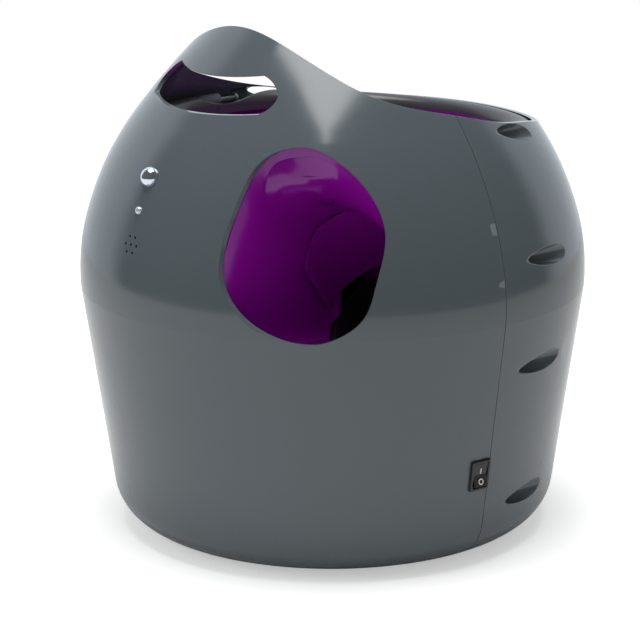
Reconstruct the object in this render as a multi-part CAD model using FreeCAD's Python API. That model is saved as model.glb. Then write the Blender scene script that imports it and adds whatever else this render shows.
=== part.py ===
"""Automatic ball launcher for dogs.

A round body moulded as two shells (front and rear) that meet on the plane
y = 0.  A ball drops into the hopper on top, rolls down a chute into a launch
barrel, and a spring striker, drawn back by a motor, a gear train and a partly
toothed sector gear, throws it out of the bay in the front shell.

Frame: millimetres, +Z up, front towards -Y, origin on the floor under the
middle of the body.  Everything is drawn with z = 0 at the lower edge of the
shells and is lifted by FOOT_PROUD when it is written.
"""
import FreeCAD, Part

import math
import os

Vec = FreeCAD.Vector
os.makedirs("parts", exist_ok=True)

# ---------------------------------------------------------------- casing ----
BODY_R = 168.0            # largest radius, at the girth
GIRTH_Z = 169.8           # height of the largest radius
BASE_R = 144.9            # radius of the lower cone carried down to the floor
BASE_ROUND = 31.6         # rounding between cone and floor
CREASE_Z = 161.6          # faint crease where the cone meets the rounded top
SHOULDER_ARC = 142.7      # profile radius just above the girth
SHOULDER_TOP = 208.3
NECK_ARC = 199.8          # profile radius higher up
NECK_TOP = 276.2
CROWN_ARC = 505.0         # profile radius of the hood
CASING_TOP = 345.0        # the profile is drawn to here, then cut by the rim
WALL = 3.0
FOOT_PROUD = 2.0          # the rubber feet lift the shells by this much
SEAM_GROOVE = 0.5         # width of the V-line where the shells meet
SEAM_DEPTH = 0.7
LAP_REACH = 4.0           # the front shell's lip reaches this far into the rear
LAP_WALL = 1.5
FIT = 0.2                 # clearance between mouldings that locate each other

# rim of hood and hopper, seen from the side: y, height on the right flank,
# height on the left flank (the left flank sits a little lower)
RIM_X = 118.0
RIM = [
    (-76.0, 345.0, 345.0), (-74.4, 336.0, 336.2), (-71.8, 327.4, 328.4),
    (-65.9, 316.9, 317.2), (-56.7, 306.7, 305.5), (-45.6, 299.5, 296.8),
    (-27.1, 292.8, 289.0), (1.8, 286.0, 280.4), (36.4, 278.1, 272.4),
    (76.0, 272.6, 266.4), (110.0, 266.4, 263.2), (140.0, 263.4, 263.2),
    (180.0, 262.8, 262.8),
]

# handle slot through the hood, seen from the front
SLOT_HALF = 59.6
SLOT_BOTTOM = 287.4
SLOT_TOP = 308.4
SLOT_RISE = 3.0           # both long edges rise by about this towards the ends

# launch opening in the front shell, seen from the front: across the lane, height
LANE_FROM_SIDE = 62.5     # from the widest point of the casing in to the ball's lane
LANE_X = BODY_R - LANE_FROM_SIDE   # the ball leaves along the plane x = LANE_X
OPEN_OUTLINE = [
    (-35.4, 232.0), (-35.2, 254.0), (-31.0, 268.0), (-18.9, 273.6), (-3.5, 269.0),
    (20.1, 248.8), (33.9, 223.6), (37.2, 194.7), (33.0, 172.0), (14.9, 159.8),
    (-4.7, 164.4), (-24.4, 181.0), (-33.6, 199.0), (-35.5, 212.0),
]

# launch bay behind it: the top of its outline is the opening's, its floor is deeper
OPEN_SHARED = 8           # so many of the opening's points also shape the bay
BAY_LOW = [(36.5, 165.0), (28.5, 143.0), (6.5, 136.0), (-17.5, 136.0),
           (-32.0, 144.0), (-35.2, 166.0), (-35.5, 195.0)]
BAY_MIDDLE_Z = 150.0
# its sections from the front to the back: depth at the middle, how much that
# depth grows per mm across and per mm up, and the share of the outline's
# left width, right width and height that is left
BAY_SECTIONS = [
    (-182.0, 0.727, 0.37, 1.00, 1.00, 1.00), (-154.0, 0.727, 0.37, 1.00, 1.00, 1.00),
    (-124.0, 0.727, 0.37, 1.00, 1.00, 1.00), (-106.0, 0.60, 0.33, 1.04, 1.00, 0.84),
    (-90.0, 0.45, 0.27, 1.08, 0.98, 0.74), (-74.0, 0.28, 0.19, 1.10, 0.94, 0.67),
    (-60.0, 0.10, 0.12, 1.06, 0.86, 0.62), (-50.0, 0.00, 0.05, 0.85, 0.68, 0.53),
]
LINER_WALL = 2.5
LINER_GAP = 0.4           # between the casing and what is moulded to fit behind it

# visor: the part tube over the muzzle, open below, moulded on the bay's back wall
VISOR_PITCH = 56.0
VISOR_Y = -48.3           # middle of its lower end
VISOR_Z = 173.6
VISOR_R = 36.5
VISOR_WALL = 1.6
VISOR_LENGTH = 47.0
VISOR_SKIRT = 17.1        # its side walls reach this far below its axis
VISOR_CORNER = [(33.5, -17.1), (37.5, -12.0), (47.2, 6.0)]   # along, below the axis

# screws that hold the shells together: x of the axis, z
POCKET_R = 6.1
POCKET_WALL = 2.0
POCKET_FLOOR = 14.0       # the screw head seats on this plane, y = 14
# in from the outside of the casing, height
SHELL_SCREWS = [(10.9, 270.2), (7.8, 197.5), (7.1, 129.0), (7.5, 38.4)]
TOP_LEFT_DROP = 4.7       # the left flank of the rim is lower, and so is its screw
SHELL_SCREW_D = 3.5
SHELL_SCREW_HEAD = 7.0
BOSS_R = 5.0
BOSS_DEPTH = 18.0

# ---------------------------------------------------------------- hopper ----
COLLAR_BOTTOM = 257.0
COLLAR_IN = 14.5          # how far the ring reaches in from the casing wall
COLLAR_JOINT = 6.0        # visible lap between the two ring halves
BOWL_WALL = 2.4
BOWL_FLOOR = 206.0
# height, radius, and how far the middle has moved from the axis to the throat
BOWL_SECTIONS = [(257.0, 121.0, 0.0), (244.0, 110.0, 0.10), (230.0, 80.0, 0.45), (206.0, 36.0, 1.0)]
THROAT_X = 50.0           # hole that the ball drops through
THROAT_Y = 26.0
BALL_R = 32.5
LANE_CLEAR = 2.5          # room round the ball in chute and barrel
TUBE_WALL = 2.4

# ---------------------------------------------------------- launch unit ----
PIVOT_Y = -30.0           # trunnion axis, parallel to X
PIVOT_Z = 146.0
ELEVATION = 45.0          # highest of the launch angles, as drawn
TILT_RANGE = 13.0
BARREL_MOUTH = 24.0       # in front of the pivot
BARREL_BREECH = 62.0      # behind the pivot
SPRING_TUBE_R = 16.0
SPRING_TUBE_END = 134.0   # behind the pivot
TRUNNION_R = 4.0
SPRING_TUBE_WALL = 2.5
BREECH_T = 2.5
STRIKER_FACE = -60.0      # along the barrel axis, measured from the pivot
STRIKER_LENGTH = 18.0
STROKE = 36.0
ARM_HALF = 3.0            # arm that joins the striker to its rack
RACK_FRONT = -66.0
RACK_LINE = 7.0           # pitch line of the rack above the barrel axis
RACK_T = 6.0
SPRING_WIRE = 1.5
SPRING_COILS = 7
ARM_X0 = 143.0 + 1.8      # right upright of the frame; the left one mirrors it
ARM_T = 2.5
FRAME_WEB_Z = 86.0
FRAME_WEB_T = 4.0
FRAME_Y0 = -41.0
FRAME_Y1 = -25.0
TRUNNION_REACH = 41.8     # from the barrel axis to the end of a trunnion
HUB_R = 8.0

# gears; planes are measured leftwards from the barrel axis
SECTOR_MODULE = 1.5
SECTOR_TEETH = 20         # of a full circle; only the first SECTOR_CUT are there
SECTOR_CUT = 9
TRAIN_MODULE = 1.0
WHEEL_TEETH = 48
PINION_TEETH = 12
BACKLASH = 0.22
SECTOR_S = -100.0         # along the barrel axis
IDLER_ANGLE = 135.0       # direction from the sector shaft to the idler shaft
MOTOR_ANGLE = -123.0      # direction from the idler shaft to the motor shaft
PLATE_IN = 17.5
GEAR_PLATE_T = 2.5
FOOT_SPAN = (18.0, 34.0)  # foot of the inner plate, above the barrel axis
FOOT_T = 3.0
FOOT_W = 8.5
FOOT_NECK = 9.0           # how far the foot reaches back into the plate
RACK_PLANE = 21.5
RACK_WIDTH = 8.0
WHEEL_PLANE = 31.5
WHEEL_WIDTH = 6.0
IDLER_PLANE = 40.5
PLATE_OUT = 49.0
SHAFT_R = 2.0
MOTOR_R = 18.0
MOTOR_LENGTH = 38.0
RUNNING = 0.05            # radial clearance of shafts and pins


# --------------------------------------------------------------- helpers ----
def cyl(radius, length, base, axis=Vec(0, 0, 1)):
    return Part.makeCylinder(radius, length, Vec(*base), axis)


def block(x0, x1, y0, y1, z0, z1):
    return Part.makeBox(x1 - x0, y1 - y0, z1 - z0, Vec(x0, y0, z0))


def fuse(shapes):
    first = shapes[0]
    if len(shapes) == 1:
        return first
    return first.multiFuse(shapes[1:]).removeSplitter()


def cut(shape, tools):
    for tool in tools:
        shape = shape.cut(tool)
    return shape


def face_of(edges):
    return Part.Face(Part.Wire(Part.__sortEdges__(edges)))


def polygon_face(points):
    return Part.Face(Part.makePolygon([Vec(*p) for p in points] + [Vec(*points[0])]))


def write(node, shape):
    """Lift onto the feet, drop stray compounds and write one STEP file."""
    shape = shape.copy()
    shape.translate(Vec(0, 0, FOOT_PROUD))
    solids = shape.Solids
    result = solids[0] if len(solids) == 1 else Part.makeCompound(solids)
    result.exportStep("parts/%s.step" % node)
    return result


# -------------------------------------------------------- casing profile ----
def casing_arcs():
    """Centres of the three upper arcs, as (radius axis, height)."""
    c1 = (BODY_R - SHOULDER_ARC, GIRTH_Z)
    t2 = math.asin((SHOULDER_TOP - c1[1]) / SHOULDER_ARC)
    step = SHOULDER_ARC - NECK_ARC
    c2 = (c1[0] + step * math.cos(t2), c1[1] + step * math.sin(t2))
    t3 = math.asin((NECK_TOP - c2[1]) / NECK_ARC)
    step = NECK_ARC - CROWN_ARC
    c3 = (c2[0] + step * math.cos(t3), c2[1] + step * math.sin(t3))
    return c1, t2, c2, t3, c3


def cone_lean():
    c1 = casing_arcs()[0]
    tc = math.asin((CREASE_Z - GIRTH_Z) / SHOULDER_ARC)
    crease_r = c1[0] + SHOULDER_ARC * math.cos(tc)
    return math.atan((crease_r - BASE_R) / CREASE_Z)


def casing_radius(z, inset=0.0):
    """Radius of the casing surface, moved in by inset, at height z."""
    c1, t2, c2, t3, c3 = casing_arcs()
    lean = cone_lean()
    if z <= CREASE_Z:
        return BASE_R + z * math.tan(lean) - inset / math.cos(lean)
    for centre, arc, top in ((c1, SHOULDER_ARC, SHOULDER_TOP), (c2, NECK_ARC, NECK_TOP),
                             (c3, CROWN_ARC, CASING_TOP + 50)):
        if z <= top:
            return centre[0] + math.sqrt((arc - inset) ** 2 - (z - centre[1]) ** 2)
    return 0.0


def surface_slope(z):
    """Angle of the outward normal above the horizontal at height z."""
    step = 0.05
    return math.atan2(casing_radius(z - step) - casing_radius(z + step), 2 * step)


def casing_solid(inset):
    """The casing's outer form, moved in by inset, as one solid of revolution."""
    c1, t2, c2, t3, c3 = casing_arcs()
    lean = cone_lean()
    round_r = BASE_ROUND - inset
    round_c = BASE_R + math.tan(lean) * BASE_ROUND - BASE_ROUND / math.cos(lean)

    def at(centre, arc, angle):
        return Vec(centre[0] + (arc - inset) * math.cos(angle), 0,
                   centre[1] + (arc - inset) * math.sin(angle))

    # where the moved-in cone line meets the moved-in shoulder arc
    start = (BASE_R - inset * math.cos(lean), inset * math.sin(lean))
    run = (math.sin(lean), math.cos(lean))
    dr, dz = start[0] - c1[0], start[1] - c1[1]
    half_b = dr * run[0] + dz * run[1]
    along = -half_b + math.sqrt(half_b ** 2 - (dr * dr + dz * dz - (SHOULDER_ARC - inset) ** 2))
    crease = Vec(start[0] + along * run[0], 0, start[1] + along * run[1])
    tc = math.atan2(crease.z - c1[1], crease.x - c1[0])
    t4 = math.asin((CASING_TOP - c3[1]) / (CROWN_ARC - inset))

    def on_round(angle):
        return Vec(round_c + round_r * math.cos(angle), 0, BASE_ROUND + round_r * math.sin(angle))

    bottom = on_round(-math.pi / 2)
    cone_start = on_round(-lean)
    top = at(c3, CROWN_ARC, t4)
    arcs = [
        Part.Arc(bottom, on_round(-math.pi / 4), cone_start).toShape(),
        Part.makeLine(cone_start, crease),
        Part.Arc(crease, at(c1, SHOULDER_ARC, (tc + t2) / 2), at(c1, SHOULDER_ARC, t2)).toShape(),
        Part.Arc(at(c1, SHOULDER_ARC, t2), at(c2, NECK_ARC, (t2 + t3) / 2),
                 at(c2, NECK_ARC, t3)).toShape(),
        Part.Arc(at(c2, NECK_ARC, t3), at(c3, CROWN_ARC, (t3 + t4) / 2), top).toShape(),
    ]
    closing = [
        Part.makeLine(top, Vec(0, 0, CASING_TOP)),
        Part.makeLine(Vec(0, 0, CASING_TOP), Vec(0, 0, inset)),
        Part.makeLine(Vec(0, 0, inset), bottom),
    ]
    profile = Part.Face(Part.Wire(arcs + closing))
    return profile.revolve(Vec(0, 0, 0), Vec(0, 0, 1), 360)


def rim_cutter(lower=0.0):
    """Everything above the rim: a ruled surface between the two flanks."""
    reach = 1.5 * RIM_X
    knots = [0.0]
    for (ya, ra, la), (yb, rb, lb) in zip(RIM, RIM[1:]):
        knots.append(knots[-1] + math.hypot(yb - ya, (rb + lb - ra - la) / 2))
    edges = []
    for side in (1, -1):
        curve = Part.BSplineCurve()
        points = []
        for y, right, left in RIM:
            middle, half = (right + left) / 2, (right - left) / 2
            points.append(Vec(side * reach, y, middle + side * half * reach / RIM_X - lower))
        curve.interpolate(Points=points, Parameters=knots)
        edges.append(curve.toShape())
    sheet = Part.makeRuledSurface(edges[0], edges[1])
    return sheet.extrude(Vec(0, 0, 200))


def on_casing(shape, theta, z, out=0.0):
    """Place a shape drawn about +Z onto the casing: its +Z is the outward normal.

    theta is the angle round the body from the front towards +X, in degrees.
    The shape's +Y points up the wall.
    """
    slope = surface_slope(z)
    radius = casing_radius(z)
    placed = shape.copy()
    # drawn about +Z, first stand it up so that +Z looks to -Y and +Y looks up
    placed.rotate(Vec(0, 0, 0), Vec(1, 0, 0), 90 - math.degrees(slope))
    placed.translate(Vec(0, -radius - out * math.cos(slope), z + out * math.sin(slope)))
    placed.rotate(Vec(0, 0, 0), Vec(0, 0, 1), theta)
    return placed


def rounded_plate(width, height, radius, z0, z1):
    """Rectangle with round corners, centred on the axis, from z0 to z1."""
    plate = block(-width / 2, width / 2, -height / 2, height / 2, z0, z1)
    upright = [e for e in plate.Edges if abs(e.Vertexes[0].Z - e.Vertexes[1].Z) > 1e-6]
    return plate.makeFillet(radius, upright)


CASING = casing_solid(0.0)
CASING_INSIDE = casing_solid(WALL)
RIM_CUTTER = rim_cutter()
THROUGH = 200.0           # long enough to pass right through
FRONT_HALF = block(-300, 300, -300, 0, -50, 400)
REAR_HALF = block(-300, 300, 0, 300, -50, 400)
SIDES = (1, -1)


# ------------------------------------------------------------ base sizes ----
FLOOR_HOLE_R = 100.0
PLATE_R = 108.0
PLATE_T = 3.0
BASE_SCREW_R = 104.0      # circle of the base screws
CLEAR_FLOOR_R = 99.5      # inside the screw bosses of the base plate
BASE_SCREW_ANGLES = [0, 60, 120, 180, 240, 300]
BASE_SCREW_D = 3.0
BASE_SCREW_HEAD = 6.0
FOOT_CIRCLE = 108.0
FOOT_R = 8.0
FOOT_SEAT = 1.2
FOOT_ANGLES = [45, 135, 225, 315]

# front features: height on the centre line of the front
PIR_Z = 248.8
PIR_R = 6.5
LED_Z = 228.8
LED_R = 2.6
SPEAKER_Z = 208.1
SPEAKER_RING = 5.6
SPEAKER_HOLE_R = 1.1

# rocker switch on the right, its rear edge on the seam
SWITCH_THETA = 87.1
SWITCH_Z = 62.9
SWITCH_W = 15.0
SWITCH_H = 20.6
SWITCH_BODY_W = 12.6
SWITCH_BODY_H = 18.4
ROCKER_SWING = 14.0       # from one resting place to the other
JACK_THETA = 158.0
JACK_Z = 36.0
JACK_R = 5.6

# dials on the rear
DIAL_X = -30.0
DIAL_Z = 73.0
DIAL_R = 17.0
DIAL_H = 13.0
WELL_R = 20.5
WELL_Y = 136.0            # flat floor of the round well, outside face
DIAL_SHAFT_R = 3.0

# battery tray under the base plate: six D cells, two along x, three along y
CELL_R = 17.1
CELL_LENGTH = 61.5
CELL_GAP = 1.0
TRAY_X = -14.0            # middle of the tray
TRAY_WALL = 2.0
CONTACT_ROOM = 5.0        # for springs and plates at the ends of the rows
TRAY_TOP = 45.0
DOOR_T = 2.4

# boards
BOARD_T = 1.6
BOARD_Y = 98.0            # front face of the main board, upright at the back
BOARD_X0 = -62.0
BOARD_X1 = 4.0
BOARD_Z0 = 44.0
BOARD_Z1 = 100.0


def polar(radius, theta):
    """x, y of a point at theta degrees from the front towards +X."""
    return radius * math.sin(math.radians(theta)), -radius * math.cos(math.radians(theta))


def slot_face():
    """Outline of the handle slot in the plane y = 0."""
    end_x = 0.915 * SLOT_HALF
    low = [Vec(-end_x, 0, SLOT_BOTTOM + SLOT_RISE), Vec(0, 0, SLOT_BOTTOM),
           Vec(end_x, 0, SLOT_BOTTOM + SLOT_RISE)]
    turn_x = 0.72 * SLOT_HALF
    high = [Vec(turn_x, 0, SLOT_TOP + SLOT_RISE), Vec(0, 0, SLOT_TOP),
            Vec(-turn_x, 0, SLOT_TOP + SLOT_RISE)]
    middle = SLOT_BOTTOM + 0.36 * (SLOT_TOP - SLOT_BOTTOM)
    edges = [Part.Arc(*low).toShape(), Part.Arc(*high).toShape()]
    for side in SIDES:
        a = Vec(side * end_x, 0, SLOT_BOTTOM + SLOT_RISE)
        b = Vec(side * SLOT_HALF, 0, middle + 2.0)
        c = Vec(side * 0.95 * SLOT_HALF, 0, middle + 8.4)
        d = Vec(side * turn_x, 0, SLOT_TOP + SLOT_RISE)
        e = Vec(side * 0.85 * SLOT_HALF, 0, middle + 13.0)
        edges.append(Part.Arc(a, b, c).toShape())
        edges.append(Part.Arc(c, e, d).toShape())
    return face_of(edges)


def opening_wire(y):
    """Outline of the launch opening in the plane y."""
    return smooth_loop([Vec(LANE_X + dx, y, z) for dx, z in OPEN_OUTLINE])


def bay_wire(section, grow):
    """One section of the launch bay, moved outwards by grow."""
    y, lean_x, lean_z, left, right, height = section
    points = []
    for dx, z in OPEN_OUTLINE[:OPEN_SHARED] + BAY_LOW + OPEN_OUTLINE[-1:]:
        dx *= left if dx < 0 else right
        dz = (z - BAY_MIDDLE_Z) * height
        out = 1 + grow / math.hypot(dx, dz)
        points.append(Vec(LANE_X + dx * out, y + grow + lean_x * dx * out + lean_z * dz * out,
                          BAY_MIDDLE_Z + dz * out))
    return smooth_loop(points)


def smooth_loop(points):
    curve = Part.BSplineCurve()
    curve.interpolate(Points=points, PeriodicFlag=True)
    return Part.Wire([curve.toShape()])


def screw_places():
    """x and z of each shell screw's axis, right side first."""
    places = []
    for side in SIDES:
        for k, (inward, z) in enumerate(SHELL_SCREWS):
            if side < 0 and k == 0:
                z -= TOP_LEFT_DROP
            places.append((side * (casing_radius(z) - inward), z))
    return places


def along_screws(radius, start, length):
    """A rod along the axis of each shell screw, from y = start to the rear."""
    return [cyl(radius, length, (x, start, z), Vec(0, 1, 0)) for x, z in screw_places()]


def sweep_clear(shape_at):
    """Union of a shape at the lowest, middle and highest launch angle."""
    return fuse([shape_at(turn) for turn in (0.0, TILT_RANGE / 2, TILT_RANGE)])


def in_frame(shape, pitch, y, z):
    """Place a shape drawn along +X into the lane: +X rises to the front at the
    pitch, +Y is up at right angles to it, +Z looks to the left of the lane."""
    angle = math.radians(pitch)
    along = Vec(0, -math.cos(angle), math.sin(angle))
    up = Vec(0, math.sin(angle), math.cos(angle))
    left = Vec(-1, 0, 0)
    turn = FreeCAD.Matrix(along.x, up.x, left.x, LANE_X,
                          along.y, up.y, left.y, y,
                          along.z, up.z, left.z, z,
                          0, 0, 0, 1)
    placed = shape.copy()
    placed.transformShape(turn)
    return placed


def in_lane(shape, lower=0.0):
    """Place a shape drawn in barrel coordinates, with its origin on the trunnion
    axis.  lower is the angle by which the barrel is tilted down."""
    return in_frame(shape, ELEVATION - lower, PIVOT_Y, PIVOT_Z)


def make_shells():
    wall = CASING.cut(CASING_INSIDE)
    wall = wall.cut(cyl(FLOOR_HOLE_R, 30, (0, 0, -10)))
    wall = wall.cut(RIM_CUTTER)
    groove = CASING.cut(casing_solid(SEAM_DEPTH))
    wall = wall.cut(groove.common(block(-300, 300, -SEAM_GROOVE / 2, SEAM_GROOVE / 2, -5, 400)))
    for theta in BASE_SCREW_ANGLES:
        x, y = polar(BASE_SCREW_R, theta)
        wall = wall.cut(cyl(BASE_SCREW_D / 2 + 0.2, 20, (x, y, -5)))
        wall = wall.cut(cyl(BASE_SCREW_HEAD / 2 + 0.3, 6, (x, y, -5)))
    for theta in FOOT_ANGLES:
        x, y = polar(FOOT_CIRCLE, theta)
        wall = wall.cut(cyl(FOOT_R + FIT, 5 + FOOT_SEAT, (x, y, -5)))

    # front shell: handle slot, launch opening, sensor, lamp, speaker, switch
    front = wall.common(FRONT_HALF)
    slot = slot_face()
    slot.translate(Vec(0, -300, 0))
    front = front.cut(slot.extrude(Vec(0, 290, 0)))
    opening = Part.Face(opening_wire(-300))
    front = front.cut(opening.extrude(Vec(0, 280, 0)))
    holes = [on_casing(cyl(PIR_R + FIT, 30, (0, 0, -15)), 0, PIR_Z),
             on_casing(cyl(LED_R + FIT, 30, (0, 0, -15)), 0, LED_Z)]
    for k in range(7):
        x = 0 if k == 6 else SPEAKER_RING * math.cos(math.radians(60 * k))
        y = 0 if k == 6 else SPEAKER_RING * math.sin(math.radians(60 * k))
        holes.append(on_casing(cyl(SPEAKER_HOLE_R, 30, (x, y, -15)), 0, SPEAKER_Z))
    holes.append(on_casing(block(-SWITCH_BODY_W / 2 - FIT, SWITCH_BODY_W / 2 + FIT,
                                 -SWITCH_BODY_H / 2 - FIT, SWITCH_BODY_H / 2 + FIT, -12, 12),
                           SWITCH_THETA, SWITCH_Z))
    front = cut(front, holes)
    # bosses that the shell screws bite into, and the lip that laps the seam
    bosses = along_screws(BOSS_R, -BOSS_DEPTH, BOSS_DEPTH)
    pilots = along_screws(SHELL_SCREW_D / 2, -BOSS_DEPTH + 3, BOSS_DEPTH)
    inner = casing_solid(WALL + FIT)
    lap_core = casing_solid(WALL + FIT + LAP_WALL)
    lip = inner.cut(lap_core).common(block(-300, 300, -6, LAP_REACH, 12, 262))
    root = CASING_INSIDE.cut(lap_core).common(block(-300, 300, -6, 0, 12, 262))
    keep_clear = [on_casing(block(-12, 12, -13, 13, -30, 12), SWITCH_THETA, SWITCH_Z)]
    keep_clear += along_screws(POCKET_R + POCKET_WALL + 0.5, -20, 40)
    lip = cut(fuse([lip, root]), keep_clear)
    bosses = [b.common(CASING) for b in bosses]
    front = cut(fuse([front, lip] + bosses), pilots)
    front = front.cut(RIM_CUTTER)

    # rear shell: screw pockets, dial wells, jack hole
    rear = wall.common(REAR_HALF)
    bores = along_screws(POCKET_R, POCKET_FLOOR, THROUGH)
    tubes = along_screws(POCKET_R + POCKET_WALL, 0, THROUGH)
    inside_tubes = [t.common(CASING).common(REAR_HALF) for t in tubes]
    wells = []
    drum = cyl(WELL_R + WALL, 80, (DIAL_X, WELL_Y - WALL, DIAL_Z), Vec(0, 1, 0))
    inside_tubes.append(drum.common(CASING))
    wells.append(cyl(WELL_R, 80, (DIAL_X, WELL_Y, DIAL_Z), Vec(0, 1, 0)))
    wells.append(cyl(DIAL_SHAFT_R + RUNNING, 30, (DIAL_X, WELL_Y - 15, DIAL_Z), Vec(0, 1, 0)))
    rear = fuse([rear] + inside_tubes)
    passages = along_screws(SHELL_SCREW_D / 2 + 0.2, -5, 30)
    jack = on_casing(cyl(JACK_R, 40, (0, 0, -20)), JACK_THETA, JACK_Z)
    rear = cut(rear, bores + wells + passages + [jack])
    rear = rear.cut(RIM_CUTTER)
    return front, rear


front_shell, rear_shell = make_shells()
write("front_shell", front_shell)
write("rear_shell", rear_shell)


# ------------------------------------------------------ launch bay and chute ----
BORE_R = BALL_R + LANE_CLEAR
PORT_R = BALL_R + 1.5
CHUTE_TOP = (THROAT_X, THROAT_Y, 190.0)
BALL_REST = -27.0         # ball in the barrel, measured along its axis
BARREL_OUT = BORE_R + LINER_WALL
RIB_PROUD = 1.2


def bowl_solid(grow):
    """Lopsided bowl that slopes from the ring to the throat."""
    wires = []
    for z, radius, shift in BOWL_SECTIONS:
        ring = Part.Circle(Vec(THROAT_X * shift, THROAT_Y * shift, z - grow), Vec(0, 0, 1), radius + grow)
        wires.append(Part.Wire([ring.toShape()]))
    return Part.makeLoft(wires, True, False)


def bowl_room(gap):
    """What the bowl fills up to its flange, grown by a gap all round."""
    top, radius, shift = BOWL_SECTIONS[0]
    grow = BOWL_WALL + gap
    return bowl_solid(grow).fuse(cyl(radius + grow, 2 * grow, (THROAT_X * shift, THROAT_Y * shift, top - grow)))


def bay_form(grow):
    """The launch bay as a solid: sections that lean and shrink towards the back."""
    return Part.makeLoft([bay_wire(section, grow) for section in BAY_SECTIONS], True, False)


def in_visor(shape):
    """Place a shape drawn in visor coordinates, which are like the barrel's."""
    return in_frame(shape, VISOR_PITCH, VISOR_Y, VISOR_Z)


def ball_path(radius):
    """Where the ball flies: a bore along the barrel axis at each launch angle."""
    bore = cyl(radius, 150.0, (BARREL_MOUTH, 0, 0), Vec(1, 0, 0))
    return sweep_clear(lambda lower: in_lane(bore, lower))


def barrel_room(gap):
    """What the tilting barrel sweeps, grown by a gap."""
    barrel = cyl(BARREL_OUT + RIB_PROUD + gap, BARREL_MOUTH + BARREL_BREECH + BREECH_T + 2 * gap,
                 (-BARREL_BREECH - BREECH_T - gap, 0, 0), Vec(1, 0, 0))
    return sweep_clear(lambda lower: in_lane(barrel, lower))


def liner_envelope(gap):
    """Outside of bay and visor, grown by a gap, for what must clear them."""
    visor = cyl(VISOR_R + VISOR_WALL + gap, VISOR_LENGTH + 2 * gap, (-gap, 0, 0), Vec(1, 0, 0))
    return bay_form(LINER_WALL + gap).fuse(in_visor(visor))


def make_visor():
    """Tube over the muzzle, its lower side cut away and its front corners sloped."""
    tube = cyl(VISOR_R + VISOR_WALL, VISOR_LENGTH, (0, 0, 0), Vec(1, 0, 0))
    tube = tube.cut(cyl(VISOR_R, VISOR_LENGTH + 2, (-1, 0, 0), Vec(1, 0, 0)))
    # where the tube is outside the bay, its front end is closed
    end = cyl(VISOR_R + VISOR_WALL, VISOR_WALL, (VISOR_LENGTH, 0, 0), Vec(1, 0, 0))
    below, ahead = -2 * VISOR_R, 2 * VISOR_LENGTH
    corner = VISOR_CORNER[-1][1]
    outline = [(-1.0, below), (-1.0, -VISOR_SKIRT)] + VISOR_CORNER + [(ahead, corner), (ahead, below)]
    waste = polygon_face([(along, up, -2 * VISOR_R) for along, up in outline])
    tube = tube.cut(waste.extrude(Vec(0, 0, 4 * VISOR_R)))
    return in_visor(tube).fuse(in_visor(end).cut(bay_form(0.0)))


def make_bay_liner():
    wall = bay_form(LINER_WALL).cut(bay_form(0.0))
    bore = cyl(VISOR_R, 2 * VISOR_LENGTH, (-VISOR_LENGTH, 0, 0), Vec(1, 0, 0))
    body = wall.cut(in_visor(bore)).fuse(make_visor()).common(casing_solid(WALL + LINER_GAP))
    # the hopper bowl dips into the top of the bay and closes it there
    body = cut(body, [ball_path(BALL_R + RUNNING), barrel_room(1.0), bowl_room(LINER_GAP)])
    return sorted(body.Solids, key=lambda piece: -piece.Volume)[0]


def make_chute():
    top = Vec(*CHUTE_TOP)
    rest = in_lane(Part.Vertex(BALL_REST, 0, 0), TILT_RANGE / 2).Point
    run = rest - top
    run_length = run.Length

    def form(radius, high):
        return fuse([cyl(radius, high - top.z, (top.x, top.y, top.z)),
                     Part.makeSphere(radius, top),
                     cyl(radius, run_length, top, run)])

    under_bowl = BOWL_FLOOR - BOWL_WALL - 0.3
    chute = form(BORE_R + TUBE_WALL, under_bowl).cut(form(BORE_R, under_bowl + 5))
    chute = chute.cut(block(-300, 300, -300, 300, under_bowl, under_bowl + 100))
    chute = chute.cut(barrel_room(2.0))
    chute = chute.cut(liner_envelope(0.5))
    chute = chute.cut(cyl(HUB_R + 2.5, 20, (LANE_X - TRUNNION_REACH - 3, PIVOT_Y, PIVOT_Z), Vec(1, 0, 0)))
    chute = chute.cut(block(0, LANE_X - BORE_R - 3, FRAME_Y0 - 1, FRAME_Y1 + 1, 60, PIVOT_Z + 2))
    return sorted(chute.Solids, key=lambda piece: -piece.Volume)[0]


write("bay_liner", make_bay_liner())
write("feed_chute", make_chute())


# ------------------------------------------------------------------ hopper ----
RING_ROWS = [(-150.0, 272.5), (0.0, 270.5), (50.0, 268.8), (110.0, 265.0), (180.0, 262.0)]
RING_SECTIONS = 16
RING_DROP_OUT = 4.0       # the roll falls by this much towards the casing
RING_DROP_IN = 7.0        # and by this much on its inner side


def ring_height(y):
    """Crown of the hopper ring at depth y: straight lines between the rows."""
    for (ya, za), (yb, zb) in zip(RING_ROWS, RING_ROWS[1:]):
        if y <= yb:
            return za + (zb - za) * (y - ya) / (yb - ya)
    return RING_ROWS[-1][1]


def ring_section(theta):
    """Upright section of the ring at theta degrees round from the front."""
    radius = casing_radius(RING_ROWS[1][1], WALL + LINER_GAP)
    top = ring_height(-radius * math.cos(math.radians(theta)))

    def at(inward, z, under):
        x, y = polar(casing_radius(under, WALL + LINER_GAP) - inward, theta)
        return Vec(x, y, z)

    shoulder = top - RING_DROP_OUT
    outer_low = at(0.0, COLLAR_BOTTOM, COLLAR_BOTTOM)
    outer_high = at(0.3, shoulder, shoulder)
    crown = at(COLLAR_IN * 0.45, top, shoulder)
    inner_high = at(COLLAR_IN, top - RING_DROP_IN, shoulder)
    inner_low = at(COLLAR_IN, COLLAR_BOTTOM, shoulder)
    return Part.Wire([Part.makeLine(outer_low, outer_high),
                      Part.Arc(outer_high, crown, inner_high).toShape(),
                      Part.makeLine(inner_high, inner_low),
                      Part.makeLine(inner_low, outer_low)])


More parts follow.
